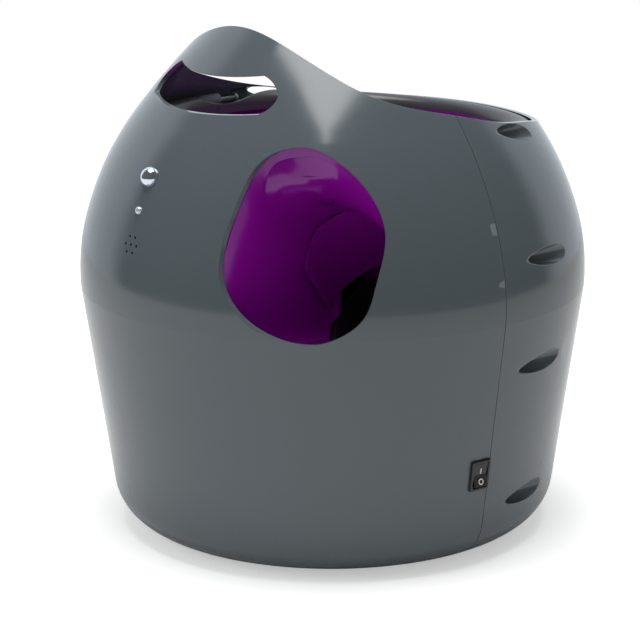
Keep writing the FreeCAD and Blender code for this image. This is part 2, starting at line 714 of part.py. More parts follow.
def make_collar():
    """Rolled ring just inside the rim, in two halves with a lap between them."""
    sections = [ring_section(360.0 * k / RING_SECTIONS) for k in range(RING_SECTIONS)]
    band = Part.makeLoft(sections, True, False, True)
    band = band.common(casing_solid(WALL + LINER_GAP * 0.7))
    pocket_room = along_screws(POCKET_R + POCKET_WALL + LINER_GAP, -BOSS_DEPTH - 1, THROUGH)
    lip_room = casing_solid(WALL).cut(casing_solid(WALL + FIT + LAP_WALL + LINER_GAP))
    lip_room = lip_room.common(block(-300, 300, -7, LAP_REACH + 1, 0, 300))
    band = cut(band, pocket_room + [lip_room, liner_envelope(0.5)])
    gap = FIT / 2
    front = band.common(block(-300, 300, -300, -COLLAR_JOINT - gap, 0, 400))
    rear = band.common(block(-300, 300, -COLLAR_JOINT + gap, 300, 0, 400))
    return front, rear


def make_bowl():
    body = bowl_solid(BOWL_WALL).cut(bowl_solid(0.0))
    top = BOWL_SECTIONS[0][0] - BOWL_WALL
    flange_r = casing_radius(BOWL_SECTIONS[0][0]) - WALL - FIT - LAP_WALL - 2 * LINER_GAP
    flange = cyl(flange_r, BOWL_WALL, (0, 0, top))
    flange = flange.cut(cyl(BOWL_SECTIONS[0][1], 10, (0, 0, top - 1)))
    flange = flange.cut(liner_envelope(2 * LINER_GAP))
    body = fuse([body, flange])
    body = body.cut(cyl(BORE_R, 60, (THROAT_X, THROAT_Y, BOWL_FLOOR - 20)))
    pocket_room = along_screws(POCKET_R + POCKET_WALL + LINER_GAP, -BOSS_DEPTH - 1, THROUGH)
    body = cut(body, pocket_room)
    return sorted(body.Solids, key=lambda piece: -piece.Volume)[0]


collar_front, collar_rear = make_collar()
write("collar_front", collar_front)
write("collar_rear", collar_rear)
write("hopper_bowl", make_bowl())


# ---------------------------------------------------- base, batteries, feet ----
def make_base_plate():
    plate = cyl(PLATE_R, PLATE_T, (0, 0, WALL))
    x0, x1, y0, y1 = tray_inside()
    plate = plate.cut(block(x0, x1, y0, y1, 0, 20))
    for theta in BASE_SCREW_ANGLES:
        x, y = polar(BASE_SCREW_R, theta)
        plate = plate.fuse(cyl(3.6, 6.0, (x, y, WALL)))
        plate = plate.cut(cyl(BASE_SCREW_D / 2, 20, (x, y, WALL - 1)).common(
            block(-300, 300, -300, 300, 0, WALL + 5.0)))
    for x in (BOARD_X0 + 24, BOARD_X1 - 4):
        plate = plate.fuse(block(x - 3, x + 3, BOARD_Y - 5, BOARD_Y, WALL, BOARD_Z0 + 12))
    return plate.removeSplitter()


def tray_inside():
    half_x = CELL_LENGTH + CONTACT_ROOM + CELL_GAP / 2
    half_y = 3 * CELL_R + 2 * CELL_GAP
    return TRAY_X - half_x, TRAY_X + half_x, -half_y, half_y


def make_tray():
    """Battery tray: an upturned tub that stands on the base plate."""
    x0, x1, y0, y1 = tray_inside()
    z0 = WALL + PLATE_T
    tub = block(x0 - TRAY_WALL, x1 + TRAY_WALL, y0 - TRAY_WALL, y1 + TRAY_WALL, z0, TRAY_TOP)
    upright = [e for e in tub.Edges if abs(e.Vertexes[0].Z - e.Vertexes[1].Z) > 1e-6]
    tub = tub.makeFillet(4.0, upright)
    tub = tub.cut(block(x0, x1, y0, y1, z0 - 1, TRAY_TOP - TRAY_WALL))
    flange = block(x0 - 8, x1 + 8, y0 - 8, y1 + 8, z0, z0 + 2)
    flange = flange.cut(block(x0, x1, y0, y1, z0 - 1, z0 + 5))
    flange = flange.common(cyl(CLEAR_FLOOR_R, 10, (0, 0, 0)))
    return fuse([tub, flange])


def cell_places():
    for row in (-1, 0, 1):
        for side in SIDES:
            yield (TRAY_X + side * CELL_GAP / 2, row * (2 * CELL_R + CELL_GAP), side)


CELL_Z = WALL + PLATE_T + 1.0 + CELL_R


def make_cells():
    cells = []
    for x, y, side in cell_places():
        axis = Vec(side, 0, 0)
        can = cyl(CELL_R, CELL_LENGTH - 1.5, (x, y, CELL_Z), axis)
        tip = cyl(5.0, 1.5, (x + side * (CELL_LENGTH - 1.5), y, CELL_Z), axis)
        cells.append(fuse([can, tip]))
    return Part.makeCompound(cells)


def make_contacts():
    """Spring plates at the outer ends of the cells."""
    x0, x1, y0, y1 = tray_inside()
    plates = []
    for row in (-1, 0, 1):
        y = row * (2 * CELL_R + CELL_GAP)
        for side, wall in ((-1, x0), (1, x1)):
            plate = block(0, 0.5, y - 9, y + 9, CELL_Z - 9, CELL_Z + 9)
            plate.translate(Vec(wall if side < 0 else wall - 0.5, 0, 0))
            spring = Part.makeCone(6.0, 3.5, CONTACT_ROOM - 0.5, Vec(wall - side * 0.5, y, CELL_Z),
                                   Vec(-side, 0, 0))
            plates.append(fuse([plate, spring]))
    return Part.makeCompound(plates)


def make_door():
    x0, x1, y0, y1 = tray_inside()
    gap = 0.4
    door = block(x0 + gap, x1 - gap, y0 + gap, y1 - gap, WALL, WALL + DOOR_T)
    return door


def make_feet():
    feet = []
    for theta in FOOT_ANGLES:
        x, y = polar(FOOT_CIRCLE, theta)
        foot = cyl(FOOT_R, FOOT_PROUD + FOOT_SEAT, (x, y, -FOOT_PROUD))
        bottom = [e for e in foot.Edges if abs(e.BoundBox.ZMax + FOOT_PROUD) < 1e-6 and e.Length > 5]
        feet.append(foot.makeFillet(1.0, bottom))
    return Part.makeCompound(feet)


def make_screw(length, diameter, head, head_height):
    """Pan-head screw, drawn about +Z with the underside of its head at z = 0."""
    shank = cyl(diameter / 2, length, (0, 0, 0), Vec(0, 0, 1))
    cap = cyl(head / 2, head_height, (0, 0, -head_height))
    rim = [e for e in cap.Edges if abs(e.BoundBox.ZMax + head_height) < 1e-6 and e.Length > 3]
    cap = cap.makeFillet(head_height * 0.45, rim)
    slots = [block(-head * 0.3, head * 0.3, -0.45, 0.45, -head_height - 1, -head_height + 0.9),
             block(-0.45, 0.45, -head * 0.3, head * 0.3, -head_height - 1, -head_height + 0.9)]
    return cut(fuse([shank, cap]), slots)


def make_base_screws():
    screws = []
    seat = 1.0
    for theta in BASE_SCREW_ANGLES:
        x, y = polar(BASE_SCREW_R, theta)
        screw = make_screw(6.5, BASE_SCREW_D - 0.1, BASE_SCREW_HEAD - 0.4, 0.9)
        screw.translate(Vec(x, y, seat))
        screws.append(screw)
    return Part.makeCompound(screws)


def make_shell_screws():
    screws = []
    for x, z in screw_places():
        screw = make_screw(POCKET_FLOOR + 12, SHELL_SCREW_D - 0.1, SHELL_SCREW_HEAD, 2.4)
        screw.rotate(Vec(0, 0, 0), Vec(1, 0, 0), 90)
        screw.translate(Vec(x, POCKET_FLOOR, z))
        screws.append(screw)
    return Part.makeCompound(screws)


write("base_plate", make_base_plate())
write("battery_tray", make_tray())
write("battery_cells", make_cells())
write("battery_contacts", make_contacts())
write("battery_door", make_door())
write("feet", make_feet())
write("base_screws", make_base_screws())
write("shell_screws", make_shell_screws())


# ------------------------------------------------------------- launch unit ----
TUBE_IN = SPRING_TUBE_R - SPRING_TUBE_WALL


def make_barrel():
    """Open-topped barrel with a closed breech, two trunnions and a loading port."""
    tube = cyl(BARREL_OUT, BARREL_MOUTH + BARREL_BREECH + BREECH_T,
               (-BARREL_BREECH - BREECH_T, 0, 0), Vec(1, 0, 0))
    for side in SIDES:
        tube = tube.fuse(cyl(HUB_R, BARREL_OUT + 1.3, (0, 0, 0), Vec(0, 0, side)))
        tube = tube.fuse(cyl(TRUNNION_R, TRUNNION_REACH, (0, 0, 0), Vec(0, 0, side)))
    for s in (-BARREL_BREECH + 4, BARREL_MOUTH - 4):
        rib = cyl(BARREL_OUT + RIB_PROUD, 3.0, (s - 1.5, 0, 0), Vec(1, 0, 0))
        tube = tube.fuse(rib)
    tube = tube.cut(cyl(BORE_R, BARREL_MOUTH + BARREL_BREECH + 5, (-BARREL_BREECH, 0, 0), Vec(1, 0, 0)))
    tube = tube.cut(cyl(TUBE_IN + 0.3, 20, (-BARREL_BREECH - 15, 0, 0), Vec(1, 0, 0)))
    # the port faces the chute at the middle of the tilt
    rest = in_lane(Part.Vertex(BALL_REST, 0, 0), TILT_RANGE / 2).Point
    run = Vec(*CHUTE_TOP) - rest
    port = cyl(PORT_R, run.Length, rest, run)
    port.rotate(Vec(LANE_X, PIVOT_Y, PIVOT_Z), Vec(1, 0, 0), -TILT_RANGE / 2)
    return in_lane(tube).cut(port)


def make_spring_tube():
    """Tube behind the breech, with a slot for the striker's arm and an end cap seat."""
    start = -BARREL_BREECH - BREECH_T
    tube = cyl(SPRING_TUBE_R, SPRING_TUBE_END + start, (-SPRING_TUBE_END, 0, 0), Vec(1, 0, 0))
    tube = tube.fuse(cyl(SPRING_TUBE_R + 5, 3.0, (start - 3.0, 0, 0), Vec(1, 0, 0)))
    tube = tube.cut(cyl(TUBE_IN, SPRING_TUBE_END + 10, (-SPRING_TUBE_END + 3.0, 0, 0), Vec(1, 0, 0)))
    slot_end = RACK_FRONT - 5.0 - STROKE - 2 * ARM_HALF - 1.0
    tube = tube.cut(block(slot_end, start + 1, -ARM_HALF - 1.2, ARM_HALF + 1.2, 0, 40))
    return in_lane(tube)


def gear_centres():
    """Sector, idler and motor shafts in barrel coordinates."""
    sector_r = SECTOR_MODULE * SECTOR_TEETH / 2
    sector = (SECTOR_S, RACK_LINE + sector_r)
    spacing = TRAIN_MODULE * (WHEEL_TEETH + PINION_TEETH) / 2
    turn = math.radians(IDLER_ANGLE)
    idler = (sector[0] + spacing * math.cos(turn), sector[1] + spacing * math.sin(turn))
    turn = math.radians(MOTOR_ANGLE)
    motor = (idler[0] + spacing * math.cos(turn), idler[1] + spacing * math.sin(turn))
    return sector, idler, motor


def tooth_half_angle(module, teeth, radius):
    """Half the angle that an involute tooth fills at a given radius."""
    pressure = math.radians(20)
    pitch_r = module * teeth / 2
    base_r = pitch_r * math.cos(pressure)
    at_pitch = math.pi / (2 * teeth) - BACKLASH / (2 * pitch_r)
    inv_pitch = math.tan(pressure) - pressure
    if radius <= base_r:
        return at_pitch + inv_pitch
    slant = math.acos(base_r / radius)
    return at_pitch + inv_pitch - (math.tan(slant) - slant)


def gear(module, teeth, width, z0, centre, phase, first=0, count=None):
    """Spur gear about +Z; phase is the direction of tooth number 0 in degrees."""
    pitch_r = module * teeth / 2
    root_r = pitch_r - 1.25 * module
    tip_r = pitch_r + module
    count = teeth if count is None else count
    steps = [root_r + 0.02, pitch_r * math.cos(math.radians(20)), pitch_r, tip_r]
    steps = [r for r in steps if r >= root_r + 0.01]
    disc = Part.makeCylinder(root_r, width, Vec(0, 0, z0))
    points = []
    for k in range(teeth):
        middle = math.radians(phase + k * 360.0 / teeth)
        if k < first or k >= first + count:
            continue
        flank = [(r, tooth_half_angle(module, teeth, r)) for r in sorted(steps)]
        outline = [(0.8 * root_r, flank[0][1] * 0.9)] + flank
        ring = [(r, -a) for r, a in outline] + [(r, a) for r, a in reversed(outline)]
        points.append([Vec(r * math.cos(middle + a), r * math.sin(middle + a), z0) for r, a in ring])
    if count == teeth:
        loop = []
        for tooth in points:
            loop += tooth[1:-1]
        body = Part.Face(Part.makePolygon(loop + [loop[0]])).extrude(Vec(0, 0, width))
    else:
        pieces = [Part.Face(Part.makePolygon(tooth + [tooth[0]])).extrude(Vec(0, 0, width))
                  for tooth in points]
        body = fuse([disc] + pieces)
    body.translate(Vec(centre[0], centre[1], 0))
    return body


def make_gears():
    sector_at, idler_at, motor_at = gear_centres()
    step = 360.0 / SECTOR_TEETH
    sector = gear(SECTOR_MODULE, SECTOR_TEETH, RACK_WIDTH - 1.0, RACK_PLANE + 0.5, sector_at, -90.0,
                  count=SECTOR_CUT)
    toward_idler = IDLER_ANGLE
    wheel = gear(TRAIN_MODULE, WHEEL_TEETH, WHEEL_WIDTH, WHEEL_PLANE, sector_at, toward_idler)
    hub = cyl(6.0, WHEEL_PLANE - RACK_PLANE, (sector_at[0], sector_at[1], RACK_PLANE))
    sector_shaft = cyl(SHAFT_R, PLATE_OUT + GEAR_PLATE_T - PLATE_IN, (sector_at[0], sector_at[1], PLATE_IN))
    sector_gear = fuse([sector, hub, wheel]).cut(cyl(SHAFT_R, 60, (sector_at[0], sector_at[1], 0)))
    idler_wheel = gear(TRAIN_MODULE, WHEEL_TEETH, WHEEL_WIDTH, IDLER_PLANE, idler_at, MOTOR_ANGLE)
    half = 180.0 / PINION_TEETH
    idler_pinion = gear(TRAIN_MODULE, PINION_TEETH, IDLER_PLANE - WHEEL_PLANE + 1.0, WHEEL_PLANE - 0.5,
                        idler_at, IDLER_ANGLE + 180.0 + half)
    idler = fuse([idler_wheel, idler_pinion]).cut(cyl(SHAFT_R, 60, (idler_at[0], idler_at[1], 0)))
    idler_shaft = cyl(SHAFT_R, PLATE_OUT + GEAR_PLATE_T - PLATE_IN, (idler_at[0], idler_at[1], PLATE_IN))
    pinion = gear(TRAIN_MODULE, PINION_TEETH, WHEEL_WIDTH + 1.0, IDLER_PLANE - 0.5, motor_at,
                  MOTOR_ANGLE + 180.0 + half)
    pinion = pinion.cut(cyl(1.5, 60, (motor_at[0], motor_at[1], 0)))
    motor_shaft = cyl(1.5, PLATE_OUT + GEAR_PLATE_T - IDLER_PLANE + 0.5,
                      (motor_at[0], motor_at[1], IDLER_PLANE - 0.5))
    return {"sector_gear": sector_gear, "sector_shaft": sector_shaft, "idler_gear": idler,
            "idler_shaft": idler_shaft, "motor_pinion": pinion, "motor_shaft": motor_shaft}


def plate_outline(z0, centres, radius):
    """Plate with round lobes at the given centres."""
    pieces = []
    for k, (s, t) in enumerate(centres):
        pieces.append(cyl(radius, GEAR_PLATE_T, (s, t, z0)))
        s2, t2 = centres[(k + 1) % len(centres)]
        dx, dy = s2 - s, t2 - t
        length = math.hypot(dx, dy)
        nx, ny = -dy / length * radius, dx / length * radius
        quad = polygon_face([(s + nx, t + ny, z0), (s2 + nx, t2 + ny, z0),
                             (s2 - nx, t2 - ny, z0), (s - nx, t - ny, z0)])
        pieces.append(quad.extrude(Vec(0, 0, GEAR_PLATE_T)))
    middle = polygon_face([(s, t, z0) for s, t in centres]).extrude(Vec(0, 0, GEAR_PLATE_T))
    return fuse(pieces + [middle])


POST_PLACES = [(-72.0, 46.0), (-98.0, 66.0), (-151.0, 40.0)]
POST_R = 4.0


def make_gear_plates():
    sector_at, idler_at, motor_at = gear_centres()
    inner_lobes = [(-76.0, 16.0), POST_PLACES[0], POST_PLACES[1], POST_PLACES[2], (-122.0, 15.5)]
    inner = plate_outline(PLATE_IN, inner_lobes, 6.0)
    outer_lobes = [(-72.0, 30.0), POST_PLACES[0], POST_PLACES[1], POST_PLACES[2],
                   (motor_at[0] - 8, motor_at[1] - 4), (-108.0, 8.0)]
    outer = plate_outline(PLATE_OUT, outer_lobes, 7.0)
    for s, t in (sector_at, idler_at):
        hole = cyl(SHAFT_R + RUNNING, 100, (s, t, 0))
        inner, outer = inner.cut(hole), outer.cut(hole)
    outer = outer.cut(cyl(4.5, 100, (motor_at[0], motor_at[1], 0)))
    breech = -BARREL_BREECH - BREECH_T
    low, high = FOOT_SPAN
    foot = block(breech - FOOT_T, breech, low, high, PLATE_IN, PLATE_IN + FOOT_W)
    neck = block(breech - FOOT_NECK, breech, low, high, PLATE_IN, PLATE_IN + GEAR_PLATE_T)
    inner = fuse([inner, foot, neck])
    posts = []
    for s, t in POST_PLACES:
        posts.append(cyl(POST_R, PLATE_OUT - PLATE_IN - GEAR_PLATE_T, (s, t, PLATE_IN + GEAR_PLATE_T)))
    return in_lane(inner), in_lane(outer), in_lane(Part.makeCompound(posts))


def make_striker():
    head = cyl(TUBE_IN - RUNNING, STRIKER_LENGTH, (STRIKER_FACE - STRIKER_LENGTH, 0, 0), Vec(1, 0, 0))
    head = head.cut(cyl(9.0, STRIKER_LENGTH - 5.0, (STRIKER_FACE - STRIKER_LENGTH, 0, 0), Vec(1, 0, 0)))
    arm_s = RACK_FRONT - 5.0
    arm = block(arm_s - 2 * ARM_HALF, arm_s, -ARM_HALF, ARM_HALF, TUBE_IN - 3.0, RACK_PLANE)
    return in_lane(fuse([head, arm]))


def make_rack():
    """Rack bar beside the spring tube; teeth look up to the sector gear."""
    pitch = math.pi * SECTOR_MODULE
    rear = SECTOR_S - 3.0
    bar_top = RACK_LINE - 1.25 * SECTOR_MODULE
    bar = block(rear, RACK_FRONT, bar_top - RACK_T, bar_top, RACK_PLANE, RACK_PLANE + RACK_WIDTH)
    half = (pitch / 2 - BACKLASH) / 2
    lean = math.tan(math.radians(20))
    teeth = [bar]
    for k in range(40):
        s = SECTOR_S + (k - 0.5) * pitch
        if s - half - 1.0 < rear or s + half + 1.0 > RACK_FRONT:
            continue
        low, high = bar_top - 0.5, RACK_LINE + SECTOR_MODULE
        wide = half + (RACK_LINE - low) * lean
        narrow = half - SECTOR_MODULE * lean
        tooth = polygon_face([(s - wide, low, RACK_PLANE), (s + wide, low, RACK_PLANE),
                              (s + narrow, high, RACK_PLANE), (s - narrow, high, RACK_PLANE)])
        teeth.append(tooth.extrude(Vec(0, 0, RACK_WIDTH)))
    return in_lane(fuse(teeth))


def make_spring():
    front = STRIKER_FACE - STRIKER_LENGTH
    rear = -SPRING_TUBE_END + 3.0
    mean_r = TUBE_IN - 1.0 - SPRING_WIRE / 2
    length = front - rear - SPRING_WIRE
    pitch = length / SPRING_COILS
    helix = Part.makeHelix(pitch, length, mean_r)
    section = Part.Wire([Part.Circle(Vec(mean_r, 0, 0), Vec(0, 1, 0), SPRING_WIRE / 2).toShape()])
    spring = Part.Wire(helix.Edges).makePipeShell([section], True, True)
    spring.rotate(Vec(0, 0, 0), Vec(0, 1, 0), 90)
    spring.translate(Vec(rear + SPRING_WIRE / 2, 0, 0))
    return in_lane(spring)


def make_motor():
    motor_at = gear_centres()[2]
    can = cyl(MOTOR_R, MOTOR_LENGTH, (motor_at[0], motor_at[1], PLATE_OUT + GEAR_PLATE_T))
    rims = [e for e in can.Edges if e.Length > 50 and e.BoundBox.ZLength < 0.1]
    can = can.makeFillet(2.0, rims)
    end = cyl(5.0, 2.5, (motor_at[0], motor_at[1], PLATE_OUT + GEAR_PLATE_T + MOTOR_LENGTH))
    boss = cyl(4.2, GEAR_PLATE_T, (motor_at[0], motor_at[1], PLATE_OUT))
    bore = cyl(1.5 + RUNNING, 8, (motor_at[0], motor_at[1], PLATE_OUT))
    return in_lane(fuse([can, end, boss]).cut(bore))


def make_frame():
    """Stand for the barrel: pedestal, cross web and two uprights with bearings."""
    left0 = LANE_X - (ARM_X0 - LANE_X) - ARM_T
    right1 = ARM_X0 + ARM_T
    z0 = WALL + PLATE_T
    web = block(left0, right1, FRAME_Y0, FRAME_Y1 - 4.0, FRAME_WEB_Z, FRAME_WEB_Z + FRAME_WEB_T)
    pedestal = block(70, 96, FRAME_Y0, FRAME_Y1, z0, FRAME_WEB_Z)
    pedestal = pedestal.cut(block(73, 93, FRAME_Y0 - 1, FRAME_Y1 - 3.0, z0 + 3, FRAME_WEB_Z - 3))
    foot = block(62, 99, -52, -16, z0, z0 + 3)
    foot = foot.common(cyl(CLEAR_FLOOR_R, 20, (0, 0, 0)))
    parts = [web, pedestal, foot]
    for x0 in (left0, ARM_X0):
        arm = block(x0, x0 + ARM_T, FRAME_Y0, FRAME_Y1, FRAME_WEB_Z, PIVOT_Z)
        eye = cyl(8.0, ARM_T, (x0, PIVOT_Y, PIVOT_Z), Vec(1, 0, 0))
        parts += [arm, eye]
    body = fuse(parts)
    bearing = cyl(TRUNNION_R + RUNNING, 200, (0, PIVOT_Y, PIVOT_Z), Vec(1, 0, 0))
    return body.cut(bearing)


write("launch_barrel", make_barrel())
write("spring_tube", make_spring_tube())
gear_plate_inner, gear_plate_outer, gear_posts = make_gear_plates()
write("gear_plate_inner", gear_plate_inner)
write("gear_plate_outer", gear_plate_outer)
write("gear_posts", gear_posts)
for node, shape in make_gears().items():
    write(node, in_lane(shape))
write("striker", make_striker())
write("striker_rack", make_rack())
write("striker_spring", make_spring())
write("motor", make_motor())
write("launch_frame", make_frame())


# ------------------------------------------------- sensors, lamp, switch, dial ----
PIR_FLANGE_R = 9.5
LENS_WALL = 1.0
SPEAKER_R = 14.0
ROCKER_HALF_W = 5.3
ROCKER_HALF_H = 7.6
ROCKER_PIVOT = -4.0       # depth of the pivot under the casing surface
ROCKER_EDGE = 2.6         # height of the rocker's ends above the surface
ROCKER_MIDDLE = 1.0
BEZEL_T = 1.8
SWITCH_DEPTH = 17.0


def make_pir_lens():
    """Domed lens with a flange that sits behind the wall."""
    dome_r = PIR_R
    outer = cyl(dome_r, 4.0 + WALL, (0, 0, -WALL - 4.0))
    ball = Part.makeSphere(dome_r, Vec(0, 0, 0))
    ball = ball.common(block(-20, 20, -20, 20, 0, 20))
    flange = cyl(PIR_FLANGE_R, 1.6, (0, 0, -WALL - 3.4))
    body = fuse([outer, ball, flange])
    inside = fuse([Part.makeSphere(dome_r - LENS_WALL, Vec(0, 0, 0)),
                   cyl(dome_r - LENS_WALL, 20, (0, 0, -20))])
    return on_casing(body.cut(inside), 0, PIR_Z)


def make_sensor_board():
    """Small board behind the lens with the sensor can."""
    board = rounded_plate(20, 22, 1.5, -15.0, -15.0 + BOARD_T)
    can = cyl(4.6, 4.0, (0, 0, -15.0 + BOARD_T))
    return on_casing(fuse([board, can]), 0, PIR_Z)


def make_status_light():
    stem = cyl(LED_R, WALL + 6.0, (0, 0, -WALL - 6.0))
    dome = Part.makeSphere(LED_R, Vec(0, 0, 0)).common(block(-9, 9, -9, 9, 0, 9))
    collar = cyl(LED_R + 1.2, 1.2, (0, 0, -WALL - 2.4))
    return on_casing(fuse([stem, dome, collar]), 0, LED_Z)


def make_speaker():
    basket = cyl(SPEAKER_R, 3.0, (0, 0, -WALL - 4.2))
    basket = basket.cut(cyl(SPEAKER_R - 1.5, 2.0, (0, 0, -WALL - 3.2)))
    magnet = cyl(7.5, 5.0, (0, 0, -WALL - 9.2))
    cone = Part.makeCone(5.0, SPEAKER_R - 2.0, 1.6, Vec(0, 0, -WALL - 3.2))
    cone = cone.cut(Part.makeCone(4.0, SPEAKER_R - 3.0, 1.6, Vec(0, 0, -WALL - 2.8)))
    return on_casing(fuse([basket, magnet, cone]), 0, SPEAKER_Z)


def make_switch_frame():
    bezel = rounded_plate(SWITCH_W, SWITCH_H, 1.0, 0.15, BEZEL_T)
    rim = [e for e in bezel.Edges if abs(e.BoundBox.ZMin - BEZEL_T) < 1e-6]
    bezel = bezel.makeFillet(0.6, rim)
    body = block(-SWITCH_BODY_W / 2, SWITCH_BODY_W / 2, -SWITCH_BODY_H / 2, SWITCH_BODY_H / 2,
                 -SWITCH_DEPTH, BEZEL_T - 0.4)
    room_w, room_h = SWITCH_BODY_W / 2 - 0.7, SWITCH_BODY_H / 2 - 0.7
    frame = fuse([bezel, body]).cut(block(-room_w, room_w, -room_h, room_h, -SWITCH_DEPTH + 5, 5))
    frame = frame.cut(cyl(1.0 + RUNNING, SWITCH_BODY_W - 0.4, (-SWITCH_BODY_W / 2 + 0.2, 0, ROCKER_PIVOT),
                          Vec(1, 0, 0)))
    blades = [block(-2.4, 2.4, y - 0.4, y + 0.4, -SWITCH_DEPTH - 7, -SWITCH_DEPTH) for y in (-4.5, 0, 4.5)]
    return on_casing(fuse([frame] + blades), SWITCH_THETA, SWITCH_Z)


def make_rocker():
    h = ROCKER_HALF_H
    outline = [(-h, ROCKER_EDGE), (0, ROCKER_MIDDLE), (h, ROCKER_EDGE), (h - 0.2, ROCKER_PIVOT),
               (3.0, ROCKER_PIVOT - 4.0), (-3.0, ROCKER_PIVOT - 4.0), (-h + 0.2, ROCKER_PIVOT)]
    body = polygon_face([(-ROCKER_HALF_W, y, z) for y, z in outline])
    body = body.extrude(Vec(2 * ROCKER_HALF_W, 0, 0))
    pin = cyl(1.0, SWITCH_BODY_W - 0.6, (-SWITCH_BODY_W / 2 + 0.3, 0, ROCKER_PIVOT), Vec(1, 0, 0))
    rocker = fuse([body, pin])
    # it rests on its lower half: switched off
    rocker.rotate(Vec(0, 0, ROCKER_PIVOT), Vec(1, 0, 0), -ROCKER_SWING / 2)
    return on_casing(rocker, SWITCH_THETA, SWITCH_Z)


def make_jack():
    barrel = cyl(JACK_R - FIT, 14.0, (0, 0, -13.0))
    flange = cyl(JACK_R + 1.6, 1.2, (0, 0, 0.1))
    nut = cyl(JACK_R + 2.2, 2.4, (0, 0, -WALL - 2.8))
    body = fuse([barrel, flange, nut]).cut(cyl(3.2, 11.0, (0, 0, -9.0)))
    pin = cyl(1.0, 9.0, (0, 0, -9.5))
    return on_casing(fuse([body, pin]), JACK_THETA, JACK_Z)


def make_main_board():
    board = block(BOARD_X0, BOARD_X1, BOARD_Y, BOARD_Y + BOARD_T, BOARD_Z0, BOARD_Z1)
    upright = [e for e in board.Edges if abs(e.Vertexes[0].Y - e.Vertexes[1].Y) > 1e-6]
    return board.makeFillet(2.0, upright)


def make_board_parts():
    """Controller chip, relay, capacitors and wire headers on the main board."""
    y = BOARD_Y
    parts = [block(-24, -14, y - 1.6, y, 78, 88), block(-10, 0, y - 10, y, 84, 97),
             cyl(5.0, 12.0, (-54, y, 92), Vec(0, -1, 0)), cyl(4.0, 10.0, (-43, y, 92), Vec(0, -1, 0))]
    for x in (-56, -40, -24):
        parts.append(block(x, x + 11, y - 7, y, 60, 66))
    return Part.makeCompound(parts)


def make_dial_pot():
    """Potentiometer that the dial turns."""
    base = cyl(8.0, 7.0, (DIAL_X, BOARD_Y + BOARD_T, DIAL_Z), Vec(0, 1, 0))
    neck = cyl(4.5, 6.0, (DIAL_X, BOARD_Y + BOARD_T + 7.0, DIAL_Z), Vec(0, 1, 0))
    hole = cyl(DIAL_SHAFT_R + RUNNING, 10.0, (DIAL_X, BOARD_Y + BOARD_T + 3.5, DIAL_Z), Vec(0, 1, 0))
    return fuse([base, neck]).cut(hole)


def make_dial():
    """Knurled dial with a pointer bar, and the shaft that reaches the board."""
    start = WELL_Y + 0.4
    knob = cyl(DIAL_R, DIAL_H - 2.0, (DIAL_X, start, DIAL_Z), Vec(0, 1, 0))
    bar = block(DIAL_X - 2.6, DIAL_X + 2.6, start + DIAL_H - 2.5, start + DIAL_H, DIAL_Z - DIAL_R + 1.5,
                DIAL_Z + DIAL_R - 0.8)
    grooves = []
    for k in range(24):
        x, z = polar(DIAL_R + 0.6, 360.0 * (k + 0.5) / 24)
        grooves.append(cyl(1.2, DIAL_H, (DIAL_X + x, start - 0.5, DIAL_Z + z), Vec(0, 1, 0)))
    shaft_start = BOARD_Y + BOARD_T + 4.0
    shaft = cyl(DIAL_SHAFT_R, start + 1 - shaft_start, (DIAL_X, shaft_start, DIAL_Z), Vec(0, 1, 0))
    return fuse([cut(knob, grooves), bar, shaft])


write("pir_lens", make_pir_lens())
write("sensor_board", make_sensor_board())
write("status_light", make_status_light())
write("speaker", make_speaker())
write("switch_frame", make_switch_frame())
write("switch_rocker", make_rocker())
write("dc_jack", make_jack())
write("main_board", make_main_board())
write("board_parts", make_board_parts())
write("dial_pot", make_dial_pot())
write("distance_dial", make_dial())
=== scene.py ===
# %% [markdown]
# A ball launcher for dogs, dressed for a studio picture. The solid parts come from a
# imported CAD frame, in metres, with +Z up and the front looking along -Y. This lesson
# adds finishes, a smooth ceiling for the launch bay, printed signs, a camera and light.
# Each step is a short cell.

# %% Load the frame
import math

import bmesh
import bpy
from mathutils import Matrix, Vector
from mathutils.bvhtree import BVHTree


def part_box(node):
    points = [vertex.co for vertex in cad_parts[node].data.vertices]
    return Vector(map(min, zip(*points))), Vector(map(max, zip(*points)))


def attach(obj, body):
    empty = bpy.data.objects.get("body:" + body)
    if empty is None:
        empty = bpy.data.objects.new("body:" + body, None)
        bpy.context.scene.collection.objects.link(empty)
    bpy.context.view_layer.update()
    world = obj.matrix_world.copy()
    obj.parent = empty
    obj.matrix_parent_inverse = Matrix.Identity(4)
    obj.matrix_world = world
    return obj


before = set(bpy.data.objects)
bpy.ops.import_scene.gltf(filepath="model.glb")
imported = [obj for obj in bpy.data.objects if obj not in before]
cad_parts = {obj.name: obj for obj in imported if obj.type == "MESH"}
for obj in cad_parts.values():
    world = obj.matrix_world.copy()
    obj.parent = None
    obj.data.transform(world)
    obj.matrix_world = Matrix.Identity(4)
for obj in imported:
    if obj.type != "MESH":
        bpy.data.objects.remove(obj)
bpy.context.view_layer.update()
scene = bpy.context.scene
scene.view_settings.view_transform = "Standard"

# %% [markdown]
# ## Tools for materials
# Every finish is a Principled BSDF with a few nodes in front of it. The nodes could be
# placed by hand in the shader editor, but in code each finish is one call with its own
# numbers, so two finishes can be compared line by line. Three helpers keep that code
# short: one adds a node, one sets its sockets, and one starts a node group.

# %% Helpers for node trees
def new_tree_node(tree, kind, place, **settings):
    """Add a node of a kind and set its plain properties."""
    node = tree.nodes.new(kind)
    node.location = place
    for name, value in settings.items():
        setattr(node, name, value)
    return node


def set_inputs(node, values):
    """Set sockets by name, directly on the node."""
    for name, value in values.items():
        node.inputs[name].default_value = value


